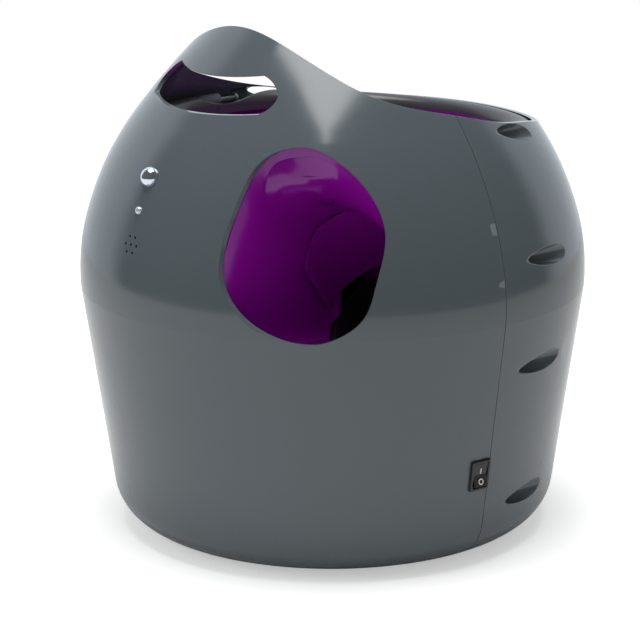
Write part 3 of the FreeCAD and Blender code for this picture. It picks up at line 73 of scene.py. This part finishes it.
def new_group(name, inputs, outputs):
    """An empty shader group with float or colour sockets."""
    group = bpy.data.node_groups.new(name, "ShaderNodeTree")
    for label, kind, value in inputs:
        socket = group.interface.new_socket(label, in_out="INPUT", socket_type=kind)
        socket.default_value = value
    for label, kind in outputs:
        group.interface.new_socket(label, in_out="OUTPUT", socket_type=kind)
    return group


# %% [markdown]
# ### Group 1: the skin of a glossy moulding
# A polished mould leaves a surface that is never perfectly flat: it has long, very
# shallow waves and a trace of orange peel, and handling leaves it a touch duller in
# patches. Modelled waves would need a very fine mesh, so noise textures make them
# instead. The group puts out a height for a Bump node and a roughness.

# %% Group: moulded skin
def make_skin_group():
    group = new_group("moulded_skin",
                      [("Wave Scale", "NodeSocketFloat", 9.0),
                       ("Peel Scale", "NodeSocketFloat", 700.0),
                       ("Peel Share", "NodeSocketFloat", 0.15),
                       ("Roughness", "NodeSocketFloat", 0.2),
                       ("Roughness Spread", "NodeSocketFloat", 0.05)],
                      [("Height", "NodeSocketFloat"), ("Roughness", "NodeSocketFloat")])
    entry = new_tree_node(group, "NodeGroupInput", (-900, 0))
    leave = new_tree_node(group, "NodeGroupOutput", (500, 0))
    place = new_tree_node(group, "ShaderNodeTexCoord", (-900, 300))
    wave = new_tree_node(group, "ShaderNodeTexNoise", (-600, 300))
    set_inputs(wave, {"Detail": 1.0, "Roughness": 0.4})
    peel = new_tree_node(group, "ShaderNodeTexNoise", (-600, 60))
    set_inputs(peel, {"Detail": 2.0, "Roughness": 0.5})
    patch = new_tree_node(group, "ShaderNodeTexNoise", (-600, -200))
    set_inputs(patch, {"Scale": 22.0, "Detail": 3.0, "Roughness": 0.6})
    mix = new_tree_node(group, "ShaderNodeMix", (-200, 200), data_type="FLOAT")
    spread = new_tree_node(group, "ShaderNodeMapRange", (-300, -200))
    set_inputs(spread, {"From Min": 0.3, "From Max": 0.7, "To Min": -0.5, "To Max": 0.5})
    scale = new_tree_node(group, "ShaderNodeMath", (-60, -200), operation="MULTIPLY")
    add = new_tree_node(group, "ShaderNodeMath", (160, -150), operation="ADD")
    link = group.links.new
    for texture in (wave, peel, patch):
        link(place.outputs["Object"], texture.inputs["Vector"])
    link(entry.outputs["Wave Scale"], wave.inputs["Scale"])
    link(entry.outputs["Peel Scale"], peel.inputs["Scale"])
    link(entry.outputs["Peel Share"], mix.inputs[0])
    link(wave.outputs["Fac"], mix.inputs[2])
    link(peel.outputs["Fac"], mix.inputs[3])
    link(mix.outputs[0], leave.inputs["Height"])
    link(patch.outputs["Fac"], spread.inputs["Value"])
    link(spread.outputs["Result"], scale.inputs[0])
    link(entry.outputs["Roughness Spread"], scale.inputs[1])
    link(scale.outputs[0], add.inputs[0])
    link(entry.outputs["Roughness"], add.inputs[1])
    link(add.outputs[0], leave.inputs["Roughness"])
    return group


SKIN = make_skin_group()
print("group", SKIN.name, "of", len(SKIN.nodes), "nodes")

# %% [markdown]
# ### Group 2: grain
# Textured mouldings, rubber, laminate and print scatter light from a grain of fine
# pits. A Voronoi cell pattern gives pits with soft rims, at a scale in cells per metre,
# and a slow noise varies the colour a little.

# %% Group: fine grain
def make_grain_group():
    group = new_group("fine_grain",
                      [("Scale", "NodeSocketFloat", 1400.0),
                       ("Tone Low", "NodeSocketColor", (0.01, 0.01, 0.01, 1)),
                       ("Tone High", "NodeSocketColor", (0.02, 0.02, 0.02, 1))],
                      [("Color", "NodeSocketColor"), ("Height", "NodeSocketFloat")])
    entry = new_tree_node(group, "NodeGroupInput", (-800, 0))
    leave = new_tree_node(group, "NodeGroupOutput", (400, 0))
    place = new_tree_node(group, "ShaderNodeTexCoord", (-800, 240))
    cells = new_tree_node(group, "ShaderNodeTexVoronoi", (-500, 240), feature="SMOOTH_F1")
    cloud = new_tree_node(group, "ShaderNodeTexNoise", (-500, -60))
    set_inputs(cloud, {"Scale": 60.0, "Detail": 4.0})
    tone = new_tree_node(group, "ShaderNodeMix", (-100, -60), data_type="RGBA")
    link = group.links.new
    link(place.outputs["Object"], cells.inputs["Vector"])
    link(place.outputs["Object"], cloud.inputs["Vector"])
    link(entry.outputs["Scale"], cells.inputs["Scale"])
    link(cloud.outputs["Fac"], tone.inputs[0])
    link(entry.outputs["Tone Low"], tone.inputs[6])
    link(entry.outputs["Tone High"], tone.inputs[7])
    link(tone.outputs[2], leave.inputs["Color"])
    link(cells.outputs["Distance"], leave.inputs["Height"])
    return group


GRAIN = make_grain_group()
print("group", GRAIN.name, "of", len(GRAIN.nodes), "nodes")

# %% [markdown]
# ## Glossy mouldings
# The casing, the ring round the hopper, the bowl and the switch are polished plastic.
# They share one recipe and differ in colour, gloss and depth of the waves. A moulded
# edge is never a knife edge, and cutting a radius on each one would multiply the
# mesh, so a Bevel node rounds the edges in the shading, where they catch the light.

# %% Bump with soft edges
MOULDED_EDGE = 0.0007
EDGE_SAMPLES = 6


def start_material(name):
    material = bpy.data.materials.new(name)
    material.use_nodes = True
    tree = material.node_tree
    shader = tree.nodes["Principled BSDF"]
    return material, tree, shader


def add_bump(tree, shader, height, strength, distance, edge=0.0):
    """Bump from a height; an edge radius also makes sharp moulded edges catch light."""
    bump = new_tree_node(tree, "ShaderNodeBump", (-220, -320))
    if edge:
        rounded = new_tree_node(tree, "ShaderNodeBevel", (-420, -420), samples=EDGE_SAMPLES)
        set_inputs(rounded, {"Radius": edge})
        tree.links.new(rounded.outputs["Normal"], bump.inputs["Normal"])
    set_inputs(bump, {"Strength": strength, "Distance": distance})
    tree.links.new(height, bump.inputs["Height"])
    tree.links.new(bump.outputs["Normal"], shader.inputs["Normal"])


# %% [markdown]
# The pigment of a moulding isn't quite even. A slow noise mixes two tints of the same
# colour, a few percent apart, which is too little to see as spots but keeps a large
# wall from looking painted on.

# %% Glossy moulded plastic
TINT_DRIFT = 0.05
WAVE_DEPTH = 0.002


def glossy_moulding(name, colour, roughness, spread=0.04, bump=0.05, edge=MOULDED_EDGE):
    """Polished ABS with shallow waves; colour drifts a little from place to place."""
    material, tree, shader = start_material(name)
    skin = new_tree_node(tree, "ShaderNodeGroup", (-520, -120))
    skin.node_tree = SKIN
    set_inputs(skin, {"Roughness": roughness, "Roughness Spread": spread})
    place = new_tree_node(tree, "ShaderNodeTexCoord", (-1000, 260))
    drift = new_tree_node(tree, "ShaderNodeTexNoise", (-780, 260))
    set_inputs(drift, {"Scale": 6.0, "Detail": 2.0})
    tint = new_tree_node(tree, "ShaderNodeMix", (-420, 260), data_type="RGBA")
    tint.inputs[6].default_value = [c * (1 - TINT_DRIFT) for c in colour] + [1.0]
    tint.inputs[7].default_value = [c * (1 + TINT_DRIFT) for c in colour] + [1.0]
    tree.links.new(place.outputs["Object"], drift.inputs["Vector"])
    tree.links.new(drift.outputs["Fac"], tint.inputs[0])
    tree.links.new(tint.outputs[2], shader.inputs["Base Color"])
    tree.links.new(skin.outputs["Roughness"], shader.inputs["Roughness"])
    add_bump(tree, shader, skin.outputs["Height"], bump, WAVE_DEPTH, edge)
    return material


SHELL_GREY = glossy_moulding("shell_grey", (0.085, 0.102, 0.114), 0.13)
COLLAR_GREY = glossy_moulding("collar_grey", (0.045, 0.047, 0.050), 0.30)
BOWL_PURPLE = glossy_moulding("bowl_purple", (0.225, 0.002, 0.262), 0.16)
SWITCH_BLACK = glossy_moulding("switch_black", (0.010, 0.010, 0.011), 0.28, bump=0.02)
print("glossy mouldings with edges of", MOULDED_EDGE * 1000, "mm")

# %% [markdown]
# ## Textured mouldings
# Inner parts, feet, gears and boards come from etched or sanded moulds, or are
# laminate, and are dull. They share the grain group. Each has its own pair of tones,
# roughness, cell size and depth, since rubber is coarse and dead matt while nylon is
# fine and slightly waxy.

# %% Textured plastic, rubber and nylon
GRAIN_DEPTH = 0.0003


def textured(name, low, high, roughness, scale=1400.0, bump=0.25):
    """A dull grained surface whose colour lies between two tones."""
    material, tree, shader = start_material(name)
    grain = new_tree_node(tree, "ShaderNodeGroup", (-520, 0))
    grain.node_tree = GRAIN
    set_inputs(grain, {"Scale": scale, "Tone Low": (*low, 1.0), "Tone High": (*high, 1.0)})
    tree.links.new(grain.outputs["Color"], shader.inputs["Base Color"])
    add_bump(tree, shader, grain.outputs["Height"], bump, GRAIN_DEPTH)
    set_inputs(shader, {"Roughness": roughness})
    return material


BLACK_TEXTURED = textured("black_textured", (0.008, 0.008, 0.009), (0.016, 0.016, 0.017), 0.55)
FOOT_RUBBER = textured("foot_rubber", (0.010, 0.010, 0.010), (0.022, 0.022, 0.022), 0.85,
                       900.0, 0.4)
GEAR_NYLON = textured("gear_nylon", (0.60, 0.58, 0.52), (0.72, 0.70, 0.64), 0.45, 1000.0, 0.1)
DIAL_GREY = textured("dial_grey", (0.040, 0.041, 0.044), (0.055, 0.056, 0.060), 0.5)
BOARD_GREEN = textured("board_green", (0.010, 0.080, 0.030), (0.016, 0.110, 0.045), 0.4,
                       500.0, 0.1)
CELL_WRAP = textured("cell_wrap", (0.020, 0.020, 0.022), (0.150, 0.080, 0.020), 0.35,
                     300.0, 0.05)
print("textured finishes with a grain of", GRAIN_DEPTH * 1000, "mm")

# %% [markdown]
# ## Metal
# Plated steel, spring wire and brass are bare metal. Real ones differ most in how
# evenly they shine, so one noise drives both the roughness and a slight bump.

# %% Bare metal
BRUSH_DULL, BRUSH_BRIGHT = 1.4, 0.7
BRUSH_BUMP = 0.04


def metal(name, colour, roughness):
    """Bare metal that shines unevenly."""
    material, tree, shader = start_material(name)
    place = new_tree_node(tree, "ShaderNodeTexCoord", (-900, 0))
    brush = new_tree_node(tree, "ShaderNodeTexNoise", (-640, 0))
    set_inputs(brush, {"Scale": 220.0, "Detail": 4.0})
    spread = new_tree_node(tree, "ShaderNodeMapRange", (-380, 0))
    set_inputs(spread, {"To Min": roughness * BRUSH_BRIGHT, "To Max": roughness * BRUSH_DULL})
    tree.links.new(place.outputs["Object"], brush.inputs["Vector"])
    tree.links.new(brush.outputs["Fac"], spread.inputs["Value"])
    tree.links.new(spread.outputs["Result"], shader.inputs["Roughness"])
    add_bump(tree, shader, brush.outputs["Fac"], BRUSH_BUMP, GRAIN_DEPTH)
    set_inputs(shader, {"Base Color": (*colour, 1.0), "Metallic": 1.0})
    return material


STEEL = metal("zinc_steel", (0.56, 0.57, 0.58), 0.32)
SPRING_STEEL = metal("spring_steel", (0.30, 0.30, 0.31), 0.35)
BRASS = metal("pinion_brass", (0.70, 0.50, 0.20), 0.28)
print("three bare metals")

# %% [markdown]
# ## Lens and lamp
# The dome of the motion sensor and the small lamp are polished plastic over a bright
# inside, so they look almost silvered. Clear glass would need that inside modelled and
# lit, so the shader is part metal and mirrors the room instead. Voronoi cells stand
# for the small facets of the dome.

# %% Lens and lamp
HAZE_LEAST, HAZE_MOST = 0.6, 1.4
FACET_BUMP = 0.15
LENS_IOR = 1.5


def lens(name, colour, metallic, roughness, cells):
    """Moulded lens: a skin of small facets, as on the Fresnel lens of a motion sensor."""
    material, tree, shader = start_material(name)
    place = new_tree_node(tree, "ShaderNodeTexCoord", (-900, 0))
    facets = new_tree_node(tree, "ShaderNodeTexVoronoi", (-640, 0), feature="SMOOTH_F1")
    set_inputs(facets, {"Scale": cells})
    haze = new_tree_node(tree, "ShaderNodeMapRange", (-380, 120))
    set_inputs(haze, {"To Min": roughness * HAZE_LEAST, "To Max": roughness * HAZE_MOST})
    tree.links.new(place.outputs["Object"], facets.inputs["Vector"])
    tree.links.new(facets.outputs["Distance"], haze.inputs["Value"])
    tree.links.new(haze.outputs["Result"], shader.inputs["Roughness"])
    add_bump(tree, shader, facets.outputs["Distance"], FACET_BUMP, GRAIN_DEPTH)
    set_inputs(shader, {"Base Color": (*colour, 1.0), "Metallic": metallic, "IOR": LENS_IOR})
    return material


LENS_MIRROR = lens("sensor_lens", (0.70, 0.78, 0.86), 0.9, 0.10, 420.0)
LAMP_CLEAR = lens("status_lamp", (0.62, 0.70, 0.74), 0.5, 0.12, 900.0)
print("a lens and a lamp")

# %% [markdown]
# ## Dressing the solid parts
# Each solid part already has its place, so it only gets its finish. A table says which
# part is made of what; the many steel parts have a list of their own, and whatever is
# in neither is black textured plastic.

# %% Which part has which finish
FINISH_OF = {
    "front_shell": SHELL_GREY, "rear_shell": SHELL_GREY,
    "collar_front": COLLAR_GREY, "collar_rear": COLLAR_GREY,
    "hopper_bowl": BOWL_PURPLE, "bay_liner": BOWL_PURPLE, "feed_chute": BOWL_PURPLE,
    "switch_frame": SWITCH_BLACK, "switch_rocker": SWITCH_BLACK,
    "feet": FOOT_RUBBER, "distance_dial": DIAL_GREY,
    "sector_gear": GEAR_NYLON, "idler_gear": GEAR_NYLON, "striker": GEAR_NYLON,
    "striker_rack": GEAR_NYLON, "motor_pinion": BRASS, "striker_spring": SPRING_STEEL,
    "main_board": BOARD_GREEN, "sensor_board": BOARD_GREEN, "battery_cells": CELL_WRAP,
    "pir_lens": LENS_MIRROR, "status_light": LAMP_CLEAR,
}
STEEL_NODES = ("base_screws", "shell_screws", "battery_contacts", "gear_plate_inner",
               "gear_plate_outer", "gear_posts", "sector_shaft", "idler_shaft",
               "motor_shaft", "motor", "dial_pot")


def dress(piece, material):
    piece.data.materials.clear()
    piece.data.materials.append(material)


for name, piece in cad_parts.items():
    finish = FINISH_OF.get(name, STEEL if name in STEEL_NODES else BLACK_TEXTURED)
    dress(piece, finish)
print("dressed", len(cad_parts), "nodes")

# %% [markdown]
# ## Ceiling of the launch bay
# On the real launcher the purple bay is one smooth moulding, and the hopper bowl above it
# presses close on its ceiling. In the solid parts the bowl shows there through a gap. The
# ceiling could be cut and filled by hand, but a skin that is shrunk into the bay follows
# both parts by itself. Rays fan out from a line along the middle of the bay, and the
# skin lies just inside the walls that they meet.

# %% Reach of the skin
bay_low, bay_high = (Vector(v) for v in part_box("bay_liner"))
BAY_X = (bay_low.x + bay_high.x) / 2
BAY_Z = 0.208            # height of the line that the rays start from
SKIN_REACH = 0.068       # longest way from that line to a wall
SKIN_FROM_Y, SKIN_TO_Y, SKIN_ROWS = -0.112, -0.070, 24
SKIN_FROM_DEG, SKIN_TO_DEG, SKIN_COLUMNS = 52.0, 152.0, 50


def skin_tree(names):
    """One search tree over the meshes of some nodes."""
    shape = bmesh.new()
    for name in names:
        shape.from_mesh(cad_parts[name].data)
    tree = BVHTree.FromBMesh(shape)
    shape.free()
    return tree


walls = skin_tree(("bay_liner", "hopper_bowl"))
print("rays start at x", round(BAY_X, 4), "z", BAY_Z)

# %% [markdown]
# The skin must not stick out through the opening, whose edge runs in a curve. Each
# column of rays is therefore tried from the front until it finds the wall, and starts
# a little behind that. The row of starts is then evened out, only ever backwards.

# %% Front edge of the skin
FRONT_STEP = 0.001
FRONT_MARGIN = 0.0015
FRONT_ROUNDS = 6


def skin_front(way, tree):
    """How far forward a ray still finds the wall: the front edge of the skin."""
    for step in range(int((SKIN_TO_Y - SKIN_FROM_Y) / FRONT_STEP)):
        y = SKIN_FROM_Y + step * FRONT_STEP
        if tree.ray_cast(Vector((BAY_X, y, BAY_Z)), way, SKIN_REACH)[3]:
            return y + FRONT_MARGIN
    return SKIN_TO_Y - FRONT_STEP


def even_front(fronts):
    """Even out the front edge, never further forward than the wall was found."""
    last = len(fronts) - 1
    for _ in range(FRONT_ROUNDS):
        fronts = [max(front, (fronts[max(k - 1, 0)] + fronts[min(k + 1, last)]) / 2)
                  for k, front in enumerate(fronts)]
    return fronts


def skin_rays(tree):
    """Rows of rays, from the front edge to the back; each is a start and a direction."""
    turns = [math.radians(SKIN_FROM_DEG + (SKIN_TO_DEG - SKIN_FROM_DEG) * k / SKIN_COLUMNS)
             for k in range(SKIN_COLUMNS + 1)]
    ways = [Vector((math.cos(turn), 0.0, math.sin(turn))) for turn in turns]
    fronts = even_front([skin_front(way, tree) for way in ways])
    rows = []
    for j in range(SKIN_ROWS + 1):
        share = j / SKIN_ROWS
        rows.append([(Vector((BAY_X, front + (SKIN_TO_Y - front) * share, BAY_Z)), way)
                     for front, way in zip(fronts, ways)])
    return rows


rays = skin_rays(walls)
starts = [start.y for start, way in rays[0]]
print("front edge of the skin from y", round(min(starts), 4), "to", round(max(starts), 4))

# %% [markdown]
# A ray that slips through the gap has no length of its own. Each length is replaced by
# the mean of its four neighbours, again and again, which draws the skin tight like a
# soap film, but it never grows past the wall. Edge rays that met a wall stay as found.

# %% Lengths of the rays
SKIN_GAP = 0.0002
SKIN_ROUNDS = 80


def skin_lengths(rays, tree):
    """Smoothed lengths of the rays; one that slips through a gap is held by its neighbours."""
    found = [[tree.ray_cast(start, way, SKIN_REACH)[3] for start, way in row] for row in rays]
    limit = [[(length or SKIN_REACH) - SKIN_GAP for length in row] for row in found]
    smooth = [row[:] for row in limit]
    rows, columns = len(limit), len(limit[0])
    for _ in range(SKIN_ROUNDS):
        before = [row[:] for row in smooth]
        for j in range(rows):
            for k in range(columns):
                at_edge = j in (0, rows - 1) or k in (0, columns - 1)
                if at_edge and found[j][k]:
                    continue
                around = [before[max(j - 1, 0)][k], before[min(j + 1, rows - 1)][k],
                          before[j][max(k - 1, 0)], before[j][min(k + 1, columns - 1)]]
                smooth[j][k] = min(sum(around) / len(around), limit[j][k])
    return smooth


lengths = skin_lengths(rays, walls)
measured = [length for row in lengths for length in row]
print("skin", round(min(measured), 4), "to", round(max(measured), 4), "m from the line")

# %% [markdown]
# The ends of the rays are the corners of a grid of four-sided faces, shaded smooth. The
# skin has the bowl's finish and rides on the casing, as the bay does.

# %% Mesh of the skin
def new_piece(name, shape):
    """Turn a bmesh into an object of the scene."""
    mesh = bpy.data.meshes.new(name)
    shape.to_mesh(mesh)
    shape.free()
    piece = bpy.data.objects.new(name, mesh)
    scene.collection.objects.link(piece)
    return piece


def make_ceiling(rays, lengths):
    shape = bmesh.new()
    grid = [[shape.verts.new(start + way * length)
             for (start, way), length in zip(ray_row, length_row)]
            for ray_row, length_row in zip(rays, lengths)]
    for near, far in zip(grid, grid[1:]):
        for k in range(SKIN_COLUMNS):
            face = shape.faces.new((near[k], near[k + 1], far[k + 1], far[k]))
            face.smooth = True
    piece = new_piece("bay_ceiling", shape)
    dress(piece, BOWL_PURPLE)
    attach(piece, "casing")
    print("bay ceiling skin of", len(piece.data.polygons), "faces")


make_ceiling(rays, lengths)

# %% [markdown]
# ## Signs on the rocker
# A mains rocker carries two printed signs, a stroke for on and a ring for off. They could
# be painted by a texture, but print is a film of ink with a sharp edge, so each sign is a
# thin sheet of its own. A ray from outside finds the face of the rocker that it lies on,
# and the sheet takes the tilt of that face and rides with the rocker.

# %% Face of the rocker
PROBE = 0.05             # the ray starts this far outside the rocker


def rocker_face(up):
    """Where the rocker's skin is at a height over its middle: a matrix, z outwards."""
    low, high = (Vector(v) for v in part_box("switch_rocker"))
    middle = (low + high) / 2
    out = Vector((middle.x, middle.y, 0.0)).normalized()
    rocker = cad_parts["switch_rocker"]
    skin = BVHTree.FromObject(rocker, bpy.context.evaluated_depsgraph_get())
    place, normal, _, _ = skin.ray_cast(middle + Vector((0, 0, up)) + out * PROBE, -out)
    across = Vector((0, 0, 1)).cross(normal).normalized()
    turn = Matrix((across, normal.cross(across), normal)).transposed().to_4x4()
    return Matrix.Translation(place) @ turn


print("middle of the rocker's face", [round(v, 4) for v in rocker_face(0.0).translation])

# %% [markdown]
# A sheet starts as a flat face, or for the ring as a loop of faces between two circles
# of as many points. It is pushed up by the ink's thickness and carried to the rocker,
# a hair above its skin so that the two surfaces never fight.

# %% Sheet of ink
INK_T = 0.00006
INK_LIFT = INK_T / 3
INK_WHITE = textured("ink_white", (0.62, 0.62, 0.62), (0.72, 0.72, 0.72), 0.5, 2200.0, 0.1)


def ink_sheet(name, up, outline, hole=()):
    """A sheet of ink with an outline, and a hole of as many points."""
    shape = bmesh.new()
    outer = [shape.verts.new((x, y, INK_LIFT)) for x, y in outline]
    inner = [shape.verts.new((x, y, INK_LIFT)) for x, y in hole]
    if inner:
        for k, corner in enumerate(outer):
            after = (k + 1) % len(outer)
            shape.faces.new((corner, outer[after], inner[after], inner[k]))
    else:
        shape.faces.new(outer)
    sheet = bmesh.ops.extrude_face_region(shape, geom=shape.faces[:])
    top = [v for v in sheet["geom"] if isinstance(v, bmesh.types.BMVert)]
    bmesh.ops.translate(shape, verts=top, vec=(0, 0, INK_T))
    bmesh.ops.recalc_face_normals(shape, faces=shape.faces)
    bmesh.ops.transform(shape, matrix=rocker_face(up), verts=shape.verts)
    piece = new_piece(name, shape)
    dress(piece, INK_WHITE)
    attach(piece, "rocker")


# %% [markdown]
# The stroke stands on the upper half of the rocker and the ring on the lower half, in
# the sizes that such switches have.

# %% Stroke and ring
SIGN_ON_UP, SIGN_OFF_UP = 0.0024, -0.0046
STROKE_L, STROKE_W = 0.0036, 0.0008
RING_OUT, RING_IN = 0.0020, 0.0013
RING_POINTS = 40


def circle_points(radius):
    turns = [2 * math.pi * k / RING_POINTS for k in range(RING_POINTS)]
    return [(radius * math.cos(turn), radius * math.sin(turn)) for turn in turns]


half_l, half_w = STROKE_L / 2, STROKE_W / 2
stroke = [(-half_w, -half_l), (half_w, -half_l), (half_w, half_l), (-half_w, half_l)]
ink_sheet("sign_on", SIGN_ON_UP, stroke)
ink_sheet("sign_off", SIGN_OFF_UP, circle_points(RING_OUT), circle_points(RING_IN))
print("two signs on the rocker")

# %% [markdown]
# ## Camera
# The camera stands to the right of the front, a little above the rim, with a long lens
# that keeps the casing's sides nearly parallel. It could be aimed with a constraint, but
# angles, a distance and a roll give its matrix in one step and are easy to compare.

# %% Camera
VIEW_AZIMUTH = math.radians(50.781)
VIEW_ELEVATION = math.radians(14.785)
VIEW_ROLL = math.radians(-0.34)
VIEW_DISTANCE = 1.5996
VIEW_TARGET_Z = 0.1336
VIEW_SIDE = -0.00854
LENS_PX = 2376.0
PICTURE_PX = 640.0


def make_camera():
    back = Vector((math.sin(VIEW_AZIMUTH) * math.cos(VIEW_ELEVATION),
                   -math.cos(VIEW_AZIMUTH) * math.cos(VIEW_ELEVATION),
                   math.sin(VIEW_ELEVATION)))
    level = Vector((math.cos(VIEW_AZIMUTH), math.sin(VIEW_AZIMUTH), 0.0))
    upright = back.cross(level)
    right = level * math.cos(VIEW_ROLL) + upright * math.sin(VIEW_ROLL)
    up = back.cross(right)
    data = bpy.data.cameras.new("studio_camera")
    data.sensor_width = 36.0
    data.lens = LENS_PX / PICTURE_PX * data.sensor_width
    camera = bpy.data.objects.new("studio_camera", data)
    scene.collection.objects.link(camera)
    turn = Matrix((right, up, back)).transposed().to_4x4()
    place = Vector((0, 0, VIEW_TARGET_Z)) + right * VIEW_SIDE + back * VIEW_DISTANCE
    camera.matrix_world = Matrix.Translation(place) @ turn
    scene.camera = camera
    print("camera at", [round(v, 4) for v in place], "right", [round(v, 4) for v in right])


make_camera()

# %% [markdown]
# ## World
# The room is a white sweep behind the object and a dark studio in front of it. A glossy
# moulding shows that split: pale bands where it curves away, deep grey where it faces
# the dark half, and the white table in its lower half. A built room would do the same,
# but a world shader needs no walls. Only what mirrors sees the split: the camera sees
# white all round, and the plain light comes evenly from everywhere.

# %% World
DAYLIGHT = 0.38
ROOM_TINT = (0.86, 0.93, 1.0, 1.0)
ROOM_WHITE_UP_TO, ROOM_DARK_FROM = -0.50, -0.28     # along the way to the dark half
ROOM_DARK = 0.05
WHITE = (1.0, 1.0, 1.0, 1.0)


def make_world():
    world = bpy.data.worlds.new("studio_world")
    scene.world = world
    world.use_nodes = True
    tree = world.node_tree
    link = tree.links.new
    plain = tree.nodes["Background"]
    set_inputs(plain, {"Color": WHITE, "Strength": DAYLIGHT})
    mirrored = new_tree_node(tree, "ShaderNodeBackground", (0, -200))
    set_inputs(mirrored, {"Color": ROOM_TINT})
    white = new_tree_node(tree, "ShaderNodeBackground", (0, -400))
    set_inputs(white, {"Color": WHITE, "Strength": 1.0})
    place = new_tree_node(tree, "ShaderNodeTexCoord", (-900, -200))
    ahead = new_tree_node(tree, "ShaderNodeVectorMath", (-700, -200), operation="DOT_PRODUCT")
    ahead.inputs[1].default_value = (math.sin(VIEW_AZIMUTH), -math.cos(VIEW_AZIMUTH), 0.0)
    room = new_tree_node(tree, "ShaderNodeMapRange", (-500, -200),
                         interpolation_type="SMOOTHSTEP")
    set_inputs(room, {"From Min": ROOM_WHITE_UP_TO, "From Max": ROOM_DARK_FROM,
                      "To Min": 1.0, "To Max": ROOM_DARK})
    path = new_tree_node(tree, "ShaderNodeLightPath", (-700, 300))
    mirror = new_tree_node(tree, "ShaderNodeMath", (-260, 200), operation="MAXIMUM")
    shown = new_tree_node(tree, "ShaderNodeMixShader", (240, 0))
    mix = new_tree_node(tree, "ShaderNodeMixShader", (440, 0))
    link(place.outputs["Generated"], ahead.inputs[0])
    link(ahead.outputs["Value"], room.inputs["Value"])
    link(room.outputs["Result"], mirrored.inputs["Strength"])
    link(path.outputs["Is Glossy Ray"], mirror.inputs[0])
    link(path.outputs["Is Transmission Ray"], mirror.inputs[1])
    link(mirror.outputs[0], shown.inputs["Fac"])
    link(plain.outputs[0], shown.inputs[1])
    link(mirrored.outputs[0], shown.inputs[2])
    link(path.outputs["Is Camera Ray"], mix.inputs["Fac"])
    link(shown.outputs[0], mix.inputs[1])
    link(white.outputs[0], mix.inputs[2])
    link(mix.outputs[0], tree.nodes["World Output"].inputs["Surface"])
    print("world with a plain light of", DAYLIGHT)


make_world()

# %% [markdown]
# ## Table
# The launcher stands on a round white table top. White paint under soft light comes out
# pale grey, and stronger lamps would bleach the object, so a little glow is added that
# only the camera sees. It keeps the table white to its edge and keeps the shadow.

# %% Table
TABLE_R = 1.25
TABLE_SIDES = 96
TABLE_GLOW = 0.45


def make_table():
    shape = bmesh.new()
    bmesh.ops.create_circle(shape, cap_ends=True, radius=TABLE_R, segments=TABLE_SIDES)
    table = new_piece("studio_table", shape)
    material, tree, shader = start_material("table_white")
    set_inputs(shader, {"Base Color": (0.90, 0.90, 0.90, 1.0), "Roughness": 0.9})
    path = new_tree_node(tree, "ShaderNodeLightPath", (-400, -260))
    amount = new_tree_node(tree, "ShaderNodeMapRange", (-200, -260))
    set_inputs(amount, {"To Min": 0.0, "To Max": TABLE_GLOW})
    glow = new_tree_node(tree, "ShaderNodeEmission", (0, -260))
    add = new_tree_node(tree, "ShaderNodeAddShader", (260, 0))
    tree.links.new(path.outputs["Is Camera Ray"], amount.inputs["Value"])
    tree.links.new(amount.outputs["Result"], glow.inputs["Strength"])
    tree.links.new(shader.outputs[0], add.inputs[0])
    tree.links.new(glow.outputs[0], add.inputs[1])
    tree.links.new(add.outputs[0], tree.nodes["Material Output"].inputs["Surface"])
    dress(table, material)
    print("table", 2 * TABLE_R, "m across")


make_table()

# %% [markdown]
# ## Lamps
# A large square softbox hangs overhead, turned cornerwise, and its mirror image is the
# pale triangle on the hood. A weaker one from the front left opens the shadows. It
# leaves no image of itself in the gloss, because mirrors don't see it.

# %% Lamps
BODY_MIDDLE = (0.0, 0.0, 0.17)
TOP_PLACE, TOP_SIZE, TOP_POWER, TOP_TWIST = (0.05, -0.05, 1.9), (1.15, 1.15), 30.0, 45.0
FILL_PLACE, FILL_SIZE, FILL_POWER = (-0.7, -1.7, 0.9), (1.0, 1.4), 8.0


def add_softbox(name, place, size, power, mirrored=True, twist=0.0):
    """A rectangular lamp aimed at the middle of the body; power in watts."""
    data = bpy.data.lights.new(name, "AREA")
    data.shape = "RECTANGLE"
    data.size, data.size_y = size
    data.energy = power
    lamp = bpy.data.objects.new(name, data)
    scene.collection.objects.link(lamp)
    lamp.location = place
    lamp.visible_glossy = mirrored
    aim = Vector(BODY_MIDDLE) - Vector(place)
    lamp.rotation_euler = aim.to_track_quat("-Z", "Y").to_euler()
    lamp.rotation_euler.rotate_axis("Z", math.radians(twist))
    print(name, "of", power, "W,", round(aim.length, 2), "m away")


add_softbox("softbox_top", TOP_PLACE, TOP_SIZE, TOP_POWER, twist=TOP_TWIST)
add_softbox("fill_left", FILL_PLACE, FILL_SIZE, FILL_POWER, mirrored=False)
